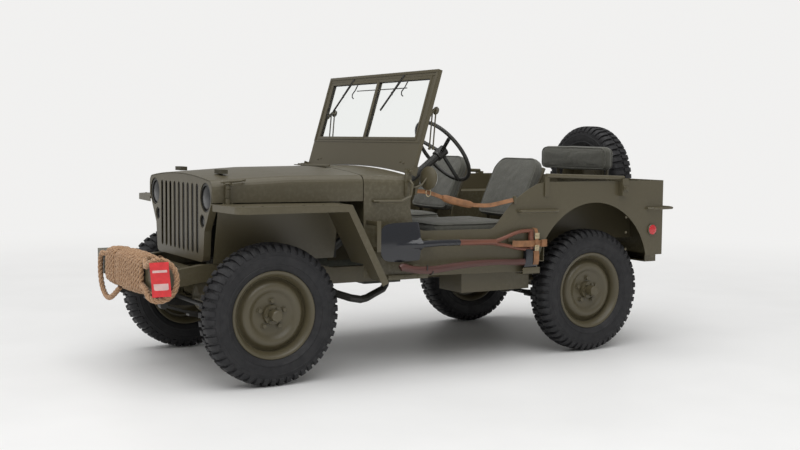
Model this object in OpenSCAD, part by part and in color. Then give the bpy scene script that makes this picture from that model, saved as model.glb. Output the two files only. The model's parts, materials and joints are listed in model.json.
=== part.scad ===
// Open four-wheel-drive utility car. Millimetres, +Z up, the floor at Z = 0.
// +X is the driver's (left) side and the car faces -Y.
// A station is the distance behind the front axle, and row(s) is its Y.

/* [Overall] */
// Front bumper face to the rearmost point
overall_len = 3327; // [2800:1:3990]
// Width over the fenders
overall_w = 1575; // [1500:1:1890]
// Front axle to rear axle
wheelbase = 2032; // [1980:1:2430]
// Front bumper face to the front axle
front_overhang = 540; // [500:1:640]

/* [Wheels] */
// Distance between the tyre centres on an axle
track = 1245; // [1235:1:1300]
// Outside diameter of a tyre
tyre_d = 720; // [600:1:760]
// Width of a tyre
tyre_w = 160; // [130:1:175]
// Diameter of the rim over its flanges
rim_d = 442; // [380:1:470]
// Distance from an axle's centre plane to its king pin
kingpin_x = 520; // [510:1:525]
// Length of a steering arm ahead of its king pin
steer_arm = 150; // [130:1:160]
// Diameter of the tie rod
tie_d = 26; // [18:1:30]

/* [Frame and axles] */
// Distance between the frame rails' centre lines
rail_gap = 710; // [660:1:740]
// Height of a frame rail
rail_h = 88; // [70:1:110]
// Thickness of the rail's metal
rail_t = 5; // [3:1:8]
// Diameter of an axle tube
axle_d = 70; // [56:1:84]
// Diameter of a brake drum
drum_d = 236; // [200:1:260]
// Sideways offset of the differentials
diff_x = -170; // [-220:1:-120]

/* [Body] */
// Half width of the body at the cowl's front edge
cowl_front_x = 596; // [560:1:610]
// Half width of the body at the windshield
cowl_rear_x = 636; // [620:1:650]
// Half width of the body behind the doors
tub_x = 735; // [712:1:760]
// Height of the body's top edge
tub_z = 1008; // [960:1:1030]
// Height of the sill's lower edge
sill_z = 505; // [480:1:530]
// Height of the front floor
floor_z = 556; // [550:1:575]
// Thickness of the body's sheet
sheet = 4; // [2:0.5:5]
// Radius of a rear wheel arch
arch_r = 413; // [385:1:425]
// Height of the door opening's lower edge
door_z = 750; // [700:1:800]
// Height of the cowl's crown
cowl_z = 1086; // [1075:1:1092]
// Height of the hood's crown at the grille
hood_front_z = 1055; // [1040:1:1070]
// Height of the hood's lower edges and of the fenders' tops
hood_edge_z = 915; // [905:1:930]
// Half width of the hood at the grille
hood_front_x = 485; // [480:1:500]

/* [Windshield] */
// Height of the windshield's hinge
wind_hinge_z = 1070; // [1064:1:1076]
// Backward lean of the windshield in degrees
wind_lean = 16.5; // [10:0.5:24]
// Length of the windshield from its hinge to its top
wind_len = 580; // [500:1:640]
// Half width of the windshield
wind_x = 640; // [625:1:652]
// Depth of the windshield's frame
wind_t = 22; // [16:1:24]
// Thickness of a pane
pane_t = 5; // [3:1:7]

/* [Steering and seats] */
// Diameter of the steering wheel
wheel_d = 430; // [380:1:460]
// Thickness of the steering wheel's rim
wheel_rim_d = 22; // [16:1:30]
// Sideways place of the steering column
column_x = 350; // [330:1:370]
// Width of a front seat
seat_w = 420; // [360:1:430]
// Height of the front cushions' tops
seat_z = 790; // [770:1:810]

/* [Spare wheel and fittings] */
// Sideways place of the spare wheel
spare_x = -150; // [-190:1:-120]
// Height of the spare wheel's centre
spare_z = 980; // [950:1:1000]
// Diameter of the rope on the front bumper
rope_d = 30; // [24:1:32]
// Diameter of the tow pin's hole in the drawbar plate
tow_bore_d = 25; // [20:1:32]
// Diameter of a bolt hole in the drawbar plate
tow_bolt_d = 13; // [10:1:16]

/* [Hidden] */
$fn = 48;
fit = 0.3;               // clearance of one body from another where they meet
clear = 6;               // clearance of pieces that move past each other
fa_y = front_overhang - overall_len / 2;
ra_s = wheelbase;
end_s = overall_len - front_overhang;
axle_z = tyre_d / 2;
wheel_x = track / 2;
rail_x = rail_gap / 2;
rail_w = 44;
rail_web = rail_x + rail_w / 2 - rail_t;
grille_s = -250;
hood_end_s = 545;
seam = 4;                // gap between the hood and what it closes on
cowl_s = hood_end_s + seam;
cowl_end_s = 812;
wind_hinge_s = 796;
tub_end_s = end_s - 242;
step_z = 84;             // rise of the rear floor above the front floor
rear_floor_z = floor_z + step_z;
riser_s = 1650;
olive = [0.33, 0.32, 0.22];
dark = [0.12, 0.12, 0.11];
canvas = [0.36, 0.37, 0.31];
rubber = [0.10, 0.10, 0.10];

function row(s) = fa_y + s;
function mix(a, b, t) = a + (b - a) * t;
// Half width of the body's outer face along the stations.
plan = [[cowl_s, cowl_front_x], [cowl_end_s, cowl_rear_x], [1250, mix(cowl_rear_x, tub_x, 0.55)],
    [1560, tub_x - 13], [1760, tub_x], [tub_end_s, tub_x]];
function body_x(s, i = 0) = i >= len(plan) - 2 || s <= plan[i + 1][0]
    ? mix(plan[i][1], plan[i + 1][1], (s - plan[i][0]) / (plan[i + 1][0] - plan[i][0]))
    : body_x(s, i + 1);

module mirror_x() { children(); mirror([1, 0, 0]) children(); }
module rod(a, b, d) {    // a round bar from point a to point b
    v = b - a;
    translate(a) rotate([0, acos(v[2] / norm(v)), atan2(v[1], v[0])]) cylinder(h = norm(v), d = d);
}
module box(x, s, z) {    // a block from ranges of X, station and Z
    translate([x[0], row(s[0]), z[0]]) cube([x[1] - x[0], s[1] - s[0], z[1] - z[0]]);
}
module side_slab(x0, x1) {   // a side view of (station, Z) made thick from x0 to x1
    translate([x0, fa_y, 0]) rotate([90, 0, 90]) linear_extrude(x1 - x0) children();
}
module front_slab(s, t) {    // a front view of (X, Z) made thick towards the rear
    translate([0, row(s) + t, 0]) rotate([90, 0, 0]) linear_extrude(t) children();
}
module plan_slab(z, t) {     // a top view of (X, station) made thick upwards
    translate([0, fa_y, z]) linear_extrude(t) children();
}
// A closed loft through rings of equal count, with flat ends.
module loft(rings) {
    n = len(rings[0]);
    m = len(rings);
    polyhedron([for (r = rings) each r], concat(
        [for (i = [0 : n / 2 - 2]) each [[n - 1 - i, n - 2 - i, i + 1], [n - 1 - i, i + 1, i]]],
        [for (k = [0 : m - 2], i = [0 : n - 1]) each [
            [k * n + i, k * n + (i + 1) % n, (k + 1) * n + (i + 1) % n],
            [k * n + i, (k + 1) * n + (i + 1) % n, (k + 1) * n + i]]],
        [for (i = [0 : n / 2 - 2]) let (a = (m - 1) * n) each
            [[a + i, a + i + 1, a + n - 2 - i], [a + i, a + n - 2 - i, a + n - 1 - i]]]));
}
// A tube of n sides swept along points in space; it stays round through bends.
module sweep(pts, d, n = 8) {
    m = len(pts);
    dirs = [for (i = [0 : m - 1]) let (v = pts[min(i + 1, m - 1)] - pts[max(i - 1, 0)]) v / norm(v)];
    ups = [for (i = 0, u = abs(dirs[0][2]) > 0.8 ? [1, 0, 0] : [0, 0, 1]; i < m;
        i = i + 1, u = i < m ? u - (u * dirs[i]) * dirs[i] : u) let (w = u - (u * dirs[i]) * dirs[i]) w / norm(w)];
    loft([for (i = [0 : m - 1]) let (w = cross(dirs[i], ups[i]))
        [for (k = [0 : n - 1]) pts[i] + d / 2 * (cos(360 * k / n) * ups[i] - sin(360 * k / n) * w)]]);
}
// Front view of an arched sheet: straight sides, round corners and a crown.
function arch_half(w, top, r, n = 5, m = 5) = let (shoulder = top - 0.055 * w, q = 78) concat(
    [for (i = [0 : n]) [w - r + r * cos(q * i / n), shoulder - r + r * sin(q * i / n)]],
    [for (i = [1 : m]) let (x0 = w - r + r * cos(q), z0 = shoulder - r + r * sin(q), t = i / m)
        [x0 * (1 - t), mix(z0, top, 1 - (1 - t) * (1 - t))]]);
function arch_full(w, z0, top, r) = let (h = arch_half(w, top, r), k = len(h)) concat(
    [[w, z0]], h, [for (i = [2 : k]) [-h[k - i][0], h[k - i][1]]], [[-w, z0]]);
// A closed ring of the arched sheet, with its thickness, at a station.
function arch_ring(s, w, z0, top, r, t) = let (
    a = arch_full(w, z0, top, r), b = arch_full(w - t, z0 + 2, top - t, max(r - t, 6)), k = len(a)) concat(
    [for (p = a) [p[0], row(s), p[1]]], [for (i = [1 : k]) [b[k - i][0], row(s), b[k - i][1]]]);

// ---- frame, axles and drive ----
rail_line = [[-front_overhang + rail_t + fit, 538], [-404, 530], [-267, 550], [-60, 556], [260, 552], [480, 500],
    [riser_s - 30, 500], [ra_s - 260, 552], [ra_s + 200, 552], [tub_end_s + 40, 500]];
function rail_low(s) = min(lookup(s - 16, rail_line), lookup(s + 16, rail_line)) - rail_h / 2 - fit;
rail_end_s = tub_end_s + 40;
module rail_view(h) {
    polygon(concat([for (p = rail_line) [p[0], p[1] + h / 2]],
        [for (i = [1 : len(rail_line)]) let (p = rail_line[len(rail_line) - i]) [p[0], p[1] - h / 2]]));
}
cross_s = [-300, 1110, 1600, 2350];
module frame_rails() color(olive) {
    mirror_x() difference() {
        side_slab(rail_x - rail_w / 2, rail_x + rail_w / 2) rail_view(rail_h);
        side_slab(rail_x - rail_w / 2 - 1, rail_x + rail_w / 2 - rail_t) rail_view(rail_h - 2 * rail_t);
    }
    for (s = cross_s) let (z = s < 260 || s > 1800 ? 530 : 485)
        box([-rail_web, rail_web], [s, s + 60], [z, z + 34]);
}
bumper_half = 525;
bumper_z = 550;
bumper_h = 130;
bumper_t = 60;
module front_bumper() color(olive) difference() {
    box([-bumper_half, bumper_half], [-front_overhang, -front_overhang + bumper_t],
        [bumper_z - bumper_h / 2, bumper_z + bumper_h / 2]);
    box([-bumper_half - 1, bumper_half + 1], [-front_overhang + rail_t, -front_overhang + bumper_t + 1],
        [bumper_z - bumper_h / 2 + rail_t, bumper_z + bumper_h / 2 - rail_t]);
}
hitch_t = 12;            // thickness of the drawbar plate
hitch_z = 470;
hitch_s = rail_end_s + 150;
module rear_hitch() color(olive) {
    difference() {       // drawbar plate behind the frame's end
        union() {
            plan_slab(hitch_z, hitch_t) hull() {
                translate([0, hitch_s]) circle(r = 45);
                translate([-250, rail_end_s - 40]) square([500, 40]);
            }
            mirror_x() box([200, 250], [rail_end_s - 40, rail_end_s], [hitch_z + hitch_t, 500]);
        }
        translate([0, row(hitch_s), hitch_z - 1]) cylinder(h = hitch_t + 2, d = tow_bore_d);
        mirror_x() for (s = [60, 110])
            translate([90 + (s == 60 ? 50 : 0), row(rail_end_s + s - 30), hitch_z - 1])
                cylinder(h = hitch_t + 2, d = tow_bolt_d);
    }
    mirror_x() difference() {    // bumperettes on the rail ends
        box([rail_x - 60, rail_x + 190], [rail_end_s + fit, rail_end_s + 90], [490, 552]);
        box([rail_x - 52, rail_x + 182], [rail_end_s - 1, rail_end_s + 82], [498, 544]);
    }
    box([fit - rail_x + rail_w / 2, rail_x - rail_w / 2 - fit], [rail_end_s - 40, rail_end_s], [490, 540]);
    difference() {       // pintle block with an open jaw
        box([-40, 40], [rail_end_s, rail_end_s + 110], [505, 575]);
        translate([0, row(rail_end_s + 75), 540]) rotate([0, 90, 0]) cylinder(h = 100, d = 34, center = true);
        box([-41, 41], [rail_end_s + 66, rail_end_s + 84], [540, 580]);
    }
}
diff_r = 112;
nose_len = 190;
knuckle_r = 42;
stub_end = 611.5;        // the stub axles end short of the hubs
// Half outline of an axle: a tube, with a ball at its end where ball_r is over the tube's radius.
function axle_line(half, ball_r) = let (r = axle_d / 2, a0 = asin(min(1, r / ball_r))) concat([[0, 0], [r, 0]],
    ball_r > r ? [for (i = [0 : 8]) let (a = mix(180 - a0, 0, i / 8)) [ball_r * sin(a), half + ball_r * cos(a)]]
        : [[r, half], [0, half]]);
module axle_body(s, half, ball_r, nose) {
    mirror_x() translate([0, row(s), axle_z]) rotate([0, 90, 0]) rotate_extrude() polygon(axle_line(half, ball_r));
    translate([diff_x, row(s), axle_z]) rotate([90 * nose, 0, 0]) rotate_extrude() polygon(concat(
        [for (i = [0 : 9]) let (a = mix(-90, 44, i / 9)) [diff_r * cos(a), diff_r * sin(a)]],
        [[60, nose_len - 60], [38, nose_len], [0, nose_len]]));
}
module front_axle() color(olive) axle_body(0, kingpin_x, knuckle_r, -1);
rear_hub_x = 575;
module rear_axle() color(olive) {
    axle_body(ra_s, rear_hub_x - clear - 10, axle_d / 2, 1);
    mirror_x() translate([rear_hub_x - clear - 10, row(ra_s), axle_z]) rotate([0, 90, 0]) {
        cylinder(h = 10, d = drum_d - 10);
        cylinder(h = stub_end - rear_hub_x + clear + 10, d = 40);
    }
}
spring_x = 345;
leaf_w = 44;
damper_x = rail_x + rail_w / 2 + 28;
function leaf(s0, dz, half, n = 8) = [for (i = [0 : n]) let (u = 2 * i / n - 1)
    [s0 + half * u, dz + 88 * pow(half * u / 460, 2)]];
module leaf_pack(s0) {
    z0 = axle_z - axle_d / 2 - 44;
    side_slab(spring_x - leaf_w / 2, spring_x + leaf_w / 2) {
        polygon(concat(leaf(s0, z0 + 36, 460), [for (i = [0 : 8]) leaf(s0, z0 + 22, 460)[8 - i]]));
        polygon(concat(leaf(s0, z0 + 22.01, 330), [for (i = [0 : 8]) leaf(s0, z0 + 11, 330)[8 - i]]));
        polygon(concat(leaf(s0, z0 + 11.01, 220), [for (i = [0 : 8]) leaf(s0, z0, 220)[8 - i]]));
    }
    box([spring_x - 30, spring_x + 30], [s0 - 45, s0 + 45], [z0 + 36, axle_z - axle_d / 2 - fit]);
    for (e = [-1, 1]) {
        translate([spring_x - leaf_w / 2, row(s0 + e * 460), z0 + 36 + 88 - 6]) rotate([0, 90, 0])
            cylinder(h = leaf_w, d = 38);
        box([spring_x - 8, spring_x + 8], [s0 + e * 460 - 16, s0 + e * 460 + 16],
            [z0 + 130, rail_low(s0 + e * 460)]);
    }
    rod([damper_x, row(s0 + 60), axle_z - 20], [damper_x, row(s0 + 130), 530], 44);
    rod([damper_x, row(s0 + axle_d / 2), axle_z - 20], [damper_x, row(s0 + 66), axle_z - 20], 24);
    rod([rail_x + rail_w / 2 + fit, row(s0 + 130), 520], [damper_x, row(s0 + 130), 520], 24);
}
module springs() color(dark) mirror_x() {
    leaf_pack(0);
    leaf_pack(ra_s);
}
box_s = 420;             // station of the steering gear
module steering_linkage() color(dark) {
    pitman_x = column_x - 36 - 15 - fit;
    rod([pitman_x, row(box_s), 650], [pitman_x, row(box_s), 470], 30);
    rod([pitman_x, row(box_s), 480], [40, row(-60), 440], 24);
    rod([40, row(-60), 455], [40, row(-60), 400], 30);
    box([10, 70], [-80, 10], [axle_z + axle_d / 2 + fit, axle_z + axle_d / 2 + 20]);
}
module engine_block() color([0.25, 0.27, 0.24]) {
    box([-150, 150], [-40, 500], [520, 930]);
    box([-110, 110], [150, 470], [440, 520]);
    box([-60, 60], [-110, -40], [600, 880]);
    mirror_x() box([140, rail_web - fit], [180, 240], [530, 575]);
}
gear_end_s = 1075;
module gearbox() color([0.25, 0.27, 0.24]) {
    box([-120, 120], [500, 830], [430, 640]);
    box([diff_x - 60, 90], [830, gear_end_s], [400, floor_z - 6]);
}
shaft_z = 440;
module shaft(s0, s1, way) {  // a shaft with a flange square to the car at each end
    for (p = [[s0 + way * fit, shaft_z, way], [s1 - way * fit, axle_z, -way]])
        translate([diff_x, row(p[0]), p[1]]) rotate([-90 * p[2], 0, 0]) cylinder(h = 14, d = 72);
    rod([diff_x, row(s0 + way * 8), shaft_z], [diff_x, row(s1 - way * 8), axle_z], 48);
}
module propeller_shafts() color(dark) {
    shaft(830, nose_len, -1);
    shaft(gear_end_s, ra_s - nose_len, 1);
}
pipe_route = [[151 + fit, 330, 650], [195, 330, 648], [228, 385, 560], [270, 450, 450], [330, 520, 395],
    [385, 585, 372], [400, 640, 362], [360, 700, 362], [250, 800, 362], [80, 960, 362], [-80, 1070, 362],
    [-190, 1140, 380], [-250, 1180, 420], [-270, 1202, 440]];
module exhaust() color(dark) {
    sweep([for (p = pipe_route) [p[0], row(p[1]), p[2]]], 42, 12);
    translate([-270, row(1200), 440]) rotate([-90, 0, 0]) cylinder(h = 380, d = 116);
    rod([-270, row(1580), 440], [-270, row(1660), 440], 42);
    box([-280, -260], [1300, 1320], [490, floor_z - fit]);
}
module radiator() color(dark) {
    box([-250, 250], [-205, -150], [620, 1005]);
    box([-rail_x, rail_x], [-205, -165], [597, 620]);
}

// ---- front sheet metal ----
grille_t = 4;
slot_pitch = 68;
slot_w = 34;
lamp_x = 394;
lamp_z = 938;
marker_x = 347;
marker_z = 816;
grille_low = 605;
function grille_half() = concat(
    [[0, grille_low], [330, grille_low], [352, grille_low + 10], [360, grille_low + 30], [375, 766],
    [470, hood_edge_z - 10]], arch_half(hood_front_x - sheet - 2, hood_front_z - sheet - 2, hood_r - sheet));
function both_sides(h) = concat(h, [for (i = [2 : len(h) - 1]) [-h[len(h) - i][0], h[len(h) - i][1]]]);
module grille() color(olive) {
    difference() {
        front_slab(grille_s, grille_t) polygon(both_sides(grille_half()));
        front_slab(grille_s - 1, grille_t + 2) {
            for (i = [-4 : 4]) hull() for (z = [645, 1005])
                translate([i * slot_pitch, z + (z < 800 ? 1 : -1) * slot_w / 2]) circle(d = slot_w, $fn = 24);
            for (m = [-1, 1]) {
                translate([m * lamp_x, lamp_z]) circle(r = 75);
                translate([m * marker_x, marker_z]) circle(r = 34);
            }
        }
    }
    difference() {       // turned edge behind the face
        front_slab(grille_s + grille_t, 34) polygon(both_sides(grille_half()));
        front_slab(grille_s, 60) offset(delta = -sheet) polygon(both_sides(grille_half()));
        box([-500, 500], [grille_s, 0], [590, 612]);
    }
}
module lamp(x, z, r, depth) {
    translate([x, row(grille_s + grille_t + fit), z]) rotate([-90, 0, 0]) difference() {
        cylinder(h = depth, r1 = r, r2 = r * 0.55);
        translate([0, 0, -1]) cylinder(h = 11, r = r - 14);
    }
}
module headlights() color([0.55, 0.56, 0.55]) for (m = [-1, 1]) lamp(m * (lamp_x - 8), lamp_z - 4, 78, 100);
module marker_lights() color([0.55, 0.56, 0.55])
    for (m = [-1, 1]) lamp(m * (marker_x - 4), marker_z, 41, 60);
fender_x = overall_w / 2;
fender_line = [[grille_s, hood_edge_z - 6], [381, hood_edge_z - 6], [596, sill_z - 5]];
module fender_view(t) polygon([fender_line[0], fender_line[1], fender_line[2],
    fender_line[2] - [t, t / 2], fender_line[1] - [t * 0.6, t], fender_line[0] - [0, t]]);
apron_low_x = 385;
apron_top_x = 460;
function apron_x(z) = mix(apron_low_x, apron_top_x, (z - 600) / 305);
fender_r = 62;
module fender_plan() hull() {
    translate([apron_top_x, grille_s]) square([10, 850]);
    translate([fender_x - fender_r, grille_s + fender_r + 16]) circle(r = fender_r);
    translate([fender_x - 1, 596]) square([1, 5]);
}
module fenders() color(olive) mirror_x() difference() {
    union() {
        intersection() {
            side_slab(apron_top_x, fender_x) fender_view(sheet);
            plan_slab(0, 1000) fender_plan();
        }
        side_slab(fender_x - sheet, fender_x) intersection() {
            fender_view(35);
            translate([grille_s + fender_r + 16, 0]) square([1200, 2000]);
        }
        intersection() {     // turned-down front edge
            plan_slab(hood_edge_z - 41, 33) difference() {
                fender_plan();
                offset(delta = -sheet) fender_plan();
            }
            box([hood_front_x + 2, fender_x], [grille_s - 1, grille_s + fender_r + 17], [800, 1000]);
        }
        front_slab(grille_s + 42, hood_end_s - grille_s - 110) polygon([[apron_x(600), 600],
            [apron_x(600) + sheet, 600], [apron_top_x + sheet, hood_edge_z - 8], [apron_top_x, hood_edge_z - 8]]);
    }
    front_slab(grille_s - 5, 43 + grille_t + fit) offset(delta = fit) polygon(both_sides(grille_half()));
    plan_slab(0, 1200) polygon([[0, cowl_s - fit], [cowl_front_x + fit, cowl_s - fit],
        [body_x(640) + fit, 640], [0, 640]]);
}
hood_r = 46;
hinge_half = 200;
hood_hinge_s = hood_end_s + seam / 2;
module hood() color(olive) {
    loft([for (s = [hood_end_s, 150, grille_s]) let (t = (s - grille_s) / (hood_end_s - grille_s))
        arch_ring(s, mix(hood_front_x, cowl_front_x - 2, t), hood_edge_z,
            mix(hood_front_z, cowl_z - 1, sin(90 * min(1, t * 1.25))), hood_r, sheet)]);
}
module hood_hinge() color(olive) {
    box([-hinge_half, hinge_half], [hood_end_s - 26, hood_end_s + 1], [cowl_z - 1 + fit, cowl_z + 4]);
    translate([0, row(hood_hinge_s), cowl_z + 5]) rotate([0, 90, 0])
        cylinder(h = 2 * hinge_half, r = 5 - fit, center = true);
}
module hood_blocks() color([0.5, 0.4, 0.28])
    mirror_x() box([250, 350], [-146, -112], [hood_front_z + 1, hood_front_z + 22]);
module cowl() color(olive) {
    loft([for (s = [cowl_end_s, cowl_s]) let (t = (s - cowl_s) / (cowl_end_s - cowl_s))
        arch_ring(s, mix(cowl_front_x, cowl_rear_x, t), sill_z, cowl_z, mix(hood_r, 60, t), sheet)]);
}
module hinge_brackets() color(olive) mirror_x() {
    box([cowl_rear_x + fit, cowl_rear_x + 9], [wind_hinge_s - 22, wind_hinge_s + 16], [940, wind_hinge_z + 16]);
}

// ---- body ----
module inside_body()     // the plan inside the body's sheet
    plan_slab(0, 2000) polygon(concat([for (p = plan) [p[1] - sheet - fit, p[0]]],
        [for (i = [1 : len(plan)]) let (p = plan[len(plan) - i]) [-p[1] + sheet + fit, p[0]]]));
tunnel_z = 704;
wall_s = 560;            // station of the firewall
toe_s = 745;
floor_end_s = tub_end_s - sheet - fit;
module floor_pan() color(olive) {
    difference() {
        intersection() {
            side_slab(-tub_x, tub_x) polygon([[wall_s, 960], [wall_s, 800], [toe_s, floor_z],
                [riser_s, floor_z], [riser_s, rear_floor_z], [floor_end_s, rear_floor_z],
                [floor_end_s, rear_floor_z + sheet], [riser_s - sheet, rear_floor_z + sheet],
                [riser_s - sheet, floor_z + sheet], [toe_s + sheet, floor_z + sheet], [wall_s + sheet, 801],
                [wall_s + sheet, 960]]);
            inside_body();
        }
        box([-150, 150], [wall_s - 10, gear_end_s + 15], [0, 700]);
        box([tank_x[0] - 8, tank_x[1] + 8], [tank_s[0] - 8, tank_s[1] + 8], [0, floor_z + 20]);
        mirror_x() box([house_x + sheet, tub_x], [riser_s + fit, tub_end_s], [600, 700]);
        rod([column_x, row(500), column_top_z(500)], [column_x, row(800), column_top_z(800)], 52);
    }
    front_slab(wall_s, sheet)
        polygon(arch_full(cowl_front_x - sheet - fit, 940, cowl_z - sheet - 1, hood_r - sheet));
    difference() {       // gearbox tunnel
        box([-154, 154], [wall_s, gear_end_s + 19], [floor_z, tunnel_z]);
        box([-150, 150], [wall_s - 20, gear_end_s + 15], [floor_z - 1, tunnel_z - sheet]);
    }
    difference() {       // tank well below the floor
        union() {
            box([tank_x[0] - 8, tank_x[1] + 8], [tank_s[0] - 8, tank_s[1] + 8], [390, floor_z + sheet]);
            box([tank_x[0] - 8, tank_x[1] + 8], [tank_s[0] - 8, well_end_s], [390, floor_z + 1]);
        }
        box([tank_x[0] - 4, tank_x[1] + 4], [tank_s[0] - 4, tank_s[1] + 4], [394, floor_z + sheet + 1]);
        box([tank_x[0] - 4, tank_x[1] + 4], [tank_s[0] - 4, well_end_s - 4], [394, floor_z - 1]);
    }
}
door_s = [860, 1300];
rear_low_z = 557;
module side_view() difference() {
    polygon([[cowl_end_s + fit, sill_z], [ra_s - 300, sill_z], [ra_s - 300, rear_low_z],
        [tub_end_s, rear_low_z], [tub_end_s, tub_z], [1655, tub_z], [1592, tub_z - 12], [1536, tub_z - 40],
        [1447, tub_z - 99], [1387, tub_z - 165], [1341, door_z + 34], [1322, door_z + 12],
        [door_s[1], door_z], [door_s[0] + 30, door_z], [door_s[0] - 6, door_z + 12],
        [door_s[0] - 34, door_z + 44], [cowl_end_s + fit, door_z + 110]]);
    translate([ra_s - 21, 470]) circle(r = arch_r, $fn = 96);
}
module side_panels() color(olive) mirror_x() intersection() {
    side_slab(500, 800) side_view();
    plan_slab(0, 2000) polygon(concat([for (p = plan) [p[1], p[0]]],
        [for (i = [1 : len(plan)]) let (p = plan[len(plan) - i]) [p[1] - sheet, p[0]]]));
}
module rear_panel() color(olive) {
    box([-tub_x + sheet + fit, tub_x - sheet - fit], [tub_end_s - sheet, tub_end_s], [rear_low_z, tub_z]);
    // spare wheel carrier
    carrier_end = spare_s + rim_disc - 8 - fit;
    box([spare_x - 60, spare_x + 60], [tub_end_s, tub_end_s + 12], [tub_z - 160, tub_z - 2]);
    translate([spare_x, row(tub_end_s), spare_z]) rotate([-90, 0, 0])
        cylinder(h = carrier_end - tub_end_s, d = 46);
    translate([spare_x, row(carrier_end - 8), spare_z]) rotate([-90, 0, 0]) cylinder(h = 8, d = 120);
}
house_x = 456;
dash_z = 920;
house_z = 900;
module house_view(t) let (z0 = rear_floor_z + sheet + fit - t * 5, s0 = riser_s + fit + t)
    polygon([[s0, z0], [s0, 720 - t], [riser_s + 90 + t, house_z - t], [floor_end_s - t, house_z - t],
        [floor_end_s - t, z0]]);
module wheelhouses() color(olive) mirror_x() intersection() {
    difference() {
        side_slab(house_x, tub_x) house_view(0);
        side_slab(house_x + sheet, tub_x + 1) house_view(sheet);
    }
    inside_body();
}
module dashboard() color(olive) difference() {
    front_slab(cowl_end_s + fit, sheet) intersection() {
        polygon(arch_full(cowl_rear_x - sheet, dash_z, cowl_z - sheet, 50));
        translate([-700, dash_z]) square([1400, 400]);
    }
    for (x = [-90, -30, 30, 90])
        translate([x, row(cowl_end_s), 1000]) rotate([-90, 0, 0]) cylinder(h = 20, r = 24);
}
tank_x = [rail_x + rail_w / 2 + 16, 604];
tank_s = [1170, 1560];
well_end_s = 1628;       // the well runs on behind the tank
module fuel_tank() color(olive) {
    box(tank_x, tank_s, [394 + fit, seat_z - 140]);
    translate([tank_x[1] - 80, row(tank_s[0] + 90), seat_z - 140]) cylinder(h = 12, d = 70);
}

// ---- steering and seats ----
wheel_s = 1196;
wheel_z = 1175;
// Height of the column's axis at a station: it rises 3 in 4.
function column_top_z(s) = wheel_z - 0.75 * (wheel_s - s);
wheel_c = [column_x, row(wheel_s), wheel_z];
module steering_column() color(dark) {
    rod(wheel_c - [0, 0.8, 0.6] * (52 + fit), [column_x, row(480), column_top_z(480)], 44);
    box([column_x - 36, column_x + 24], [390, 500], [600, 690]);
}
// The steering wheel lies square to its column.
module on_column() translate(wheel_c) rotate([-53.13, 0, 0]) children();
module steering_wheel() color(dark) on_column() {
    rotate_extrude($fn = 72) translate([(wheel_d - wheel_rim_d) / 2, 0]) circle(d = wheel_rim_d, $fn = 20);
    translate([0, 0, -52]) cylinder(h = 66, d = 62);
    for (a = [90, 210, 330]) rotate([0, 0, a]) translate([20, -9, -18]) cube([wheel_d / 2 - 32, 18, 14]);
}
module lever(x, s, z, reach, ball) {   // a floor lever on its round base
    translate([x, row(s), tunnel_z + fit]) cylinder(h = 16, d = 50);
    rod([x, row(s), tunnel_z + 12], [x - 8, row(s + reach), z], 18);
    translate([x - 8, row(s + reach), z]) sphere(d = ball);
}
module floor_controls() color(dark) {
    lever(40, 780, 940, 190, 46);
    lever(-60, 940, 830, 90, 38);
    lever(-120, 940, 830, 90, 38);
    for (x = [column_x - 110, column_x - 10, column_x + 80]) {
        rod([x, row(765), floor_z + sheet + fit], [x, row(765), 680], 16);
        box([x - 30, x + 30], [758, 772], [660, 730]);
    }
    rod([-190, row(cowl_end_s + sheet + 2 * fit), 950], [-190, row(cowl_end_s + 60), 950], 18);
    box([-220, -160], [cowl_end_s + 55, cowl_end_s + 68], [943, 957]);
}
seat_x = 390;
cushion_s = [1010, 1530];
cushion_h = 100;
back_lean = 0.453;       // a seat back leans this far for each step of height
back_s = 1545;           // station of a seat back's face at its lower edge
back_low = 800;
back_high = 1120;
back_t = 66;
function back_line(z, t = 0) = back_s + t + back_lean * (z - back_low);
tube_d = 24;
module seat_frames() color(olive) mirror_x() {
    tube_s = back_line(back_low, back_t) + (tube_d / 2 + fit) * sqrt(1 + back_lean * back_lean);
    bar = [seat_z - cushion_h - 22, seat_z - cushion_h - fit];
    for (x = [seat_x - seat_w / 2 + 24, seat_x + seat_w / 2 - 24]) {
        rod([x, row(1050), floor_z + sheet], [x, row(1050), bar[1] - 4], tube_d);
        rod([x, row(tube_s), floor_z + sheet], [x, row(tube_s), back_low + 2], tube_d);
        box([x - 12, x + 12], [1038, tube_s], bar);
        rod([x, row(tube_s), back_low], [x, row(tube_s + back_lean * 280), back_low + 280], tube_d);
    }
    box([seat_x - seat_w / 2 + 24, seat_x + seat_w / 2 - 24], [1038, 1062], bar);
    box([seat_x - seat_w / 2 + 24, seat_x + seat_w / 2 - 24], [tube_s - 10, tube_s + 10], bar);
}
rear_seat_s = [2040, 2440];
rear_back_s = [2420, 2505];
rear_post_s = rear_back_s[1] + fit + 10;
module rear_seat_frame() color(olive) {
    for (s = [rear_seat_s[0] + 24, rear_seat_s[1] - 30])
        rod([fit - house_x, row(s), 849], [house_x - fit, row(s), 849], 22 - fit);
    mirror_x() {
        rod([250, row(rear_seat_s[1] - 30), 849], [250, row(rear_post_s), 849], 20);
        rod([250, row(rear_post_s), 842], [250, row(rear_post_s), 1190], 20);
    }
}
module front_cushions() color(canvas) mirror_x()
    box([seat_x - seat_w / 2, seat_x + seat_w / 2], cushion_s, [seat_z - cushion_h, seat_z]);
module front_backs() color(canvas) mirror_x()
    side_slab(seat_x - seat_w / 2, seat_x + seat_w / 2) polygon([[back_line(back_low), back_low],
        [back_line(back_high), back_high], [back_line(back_high, 20), back_high + 12],
        [back_line(back_high - 10, back_t), back_high - 10], [back_line(back_low, back_t), back_low]]);
module rear_cushion() color(canvas) box([-400, 400], rear_seat_s, [860, 950]);
module rear_back() color(canvas) box([-330, 330], rear_back_s, [1055, 1205]);
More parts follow.
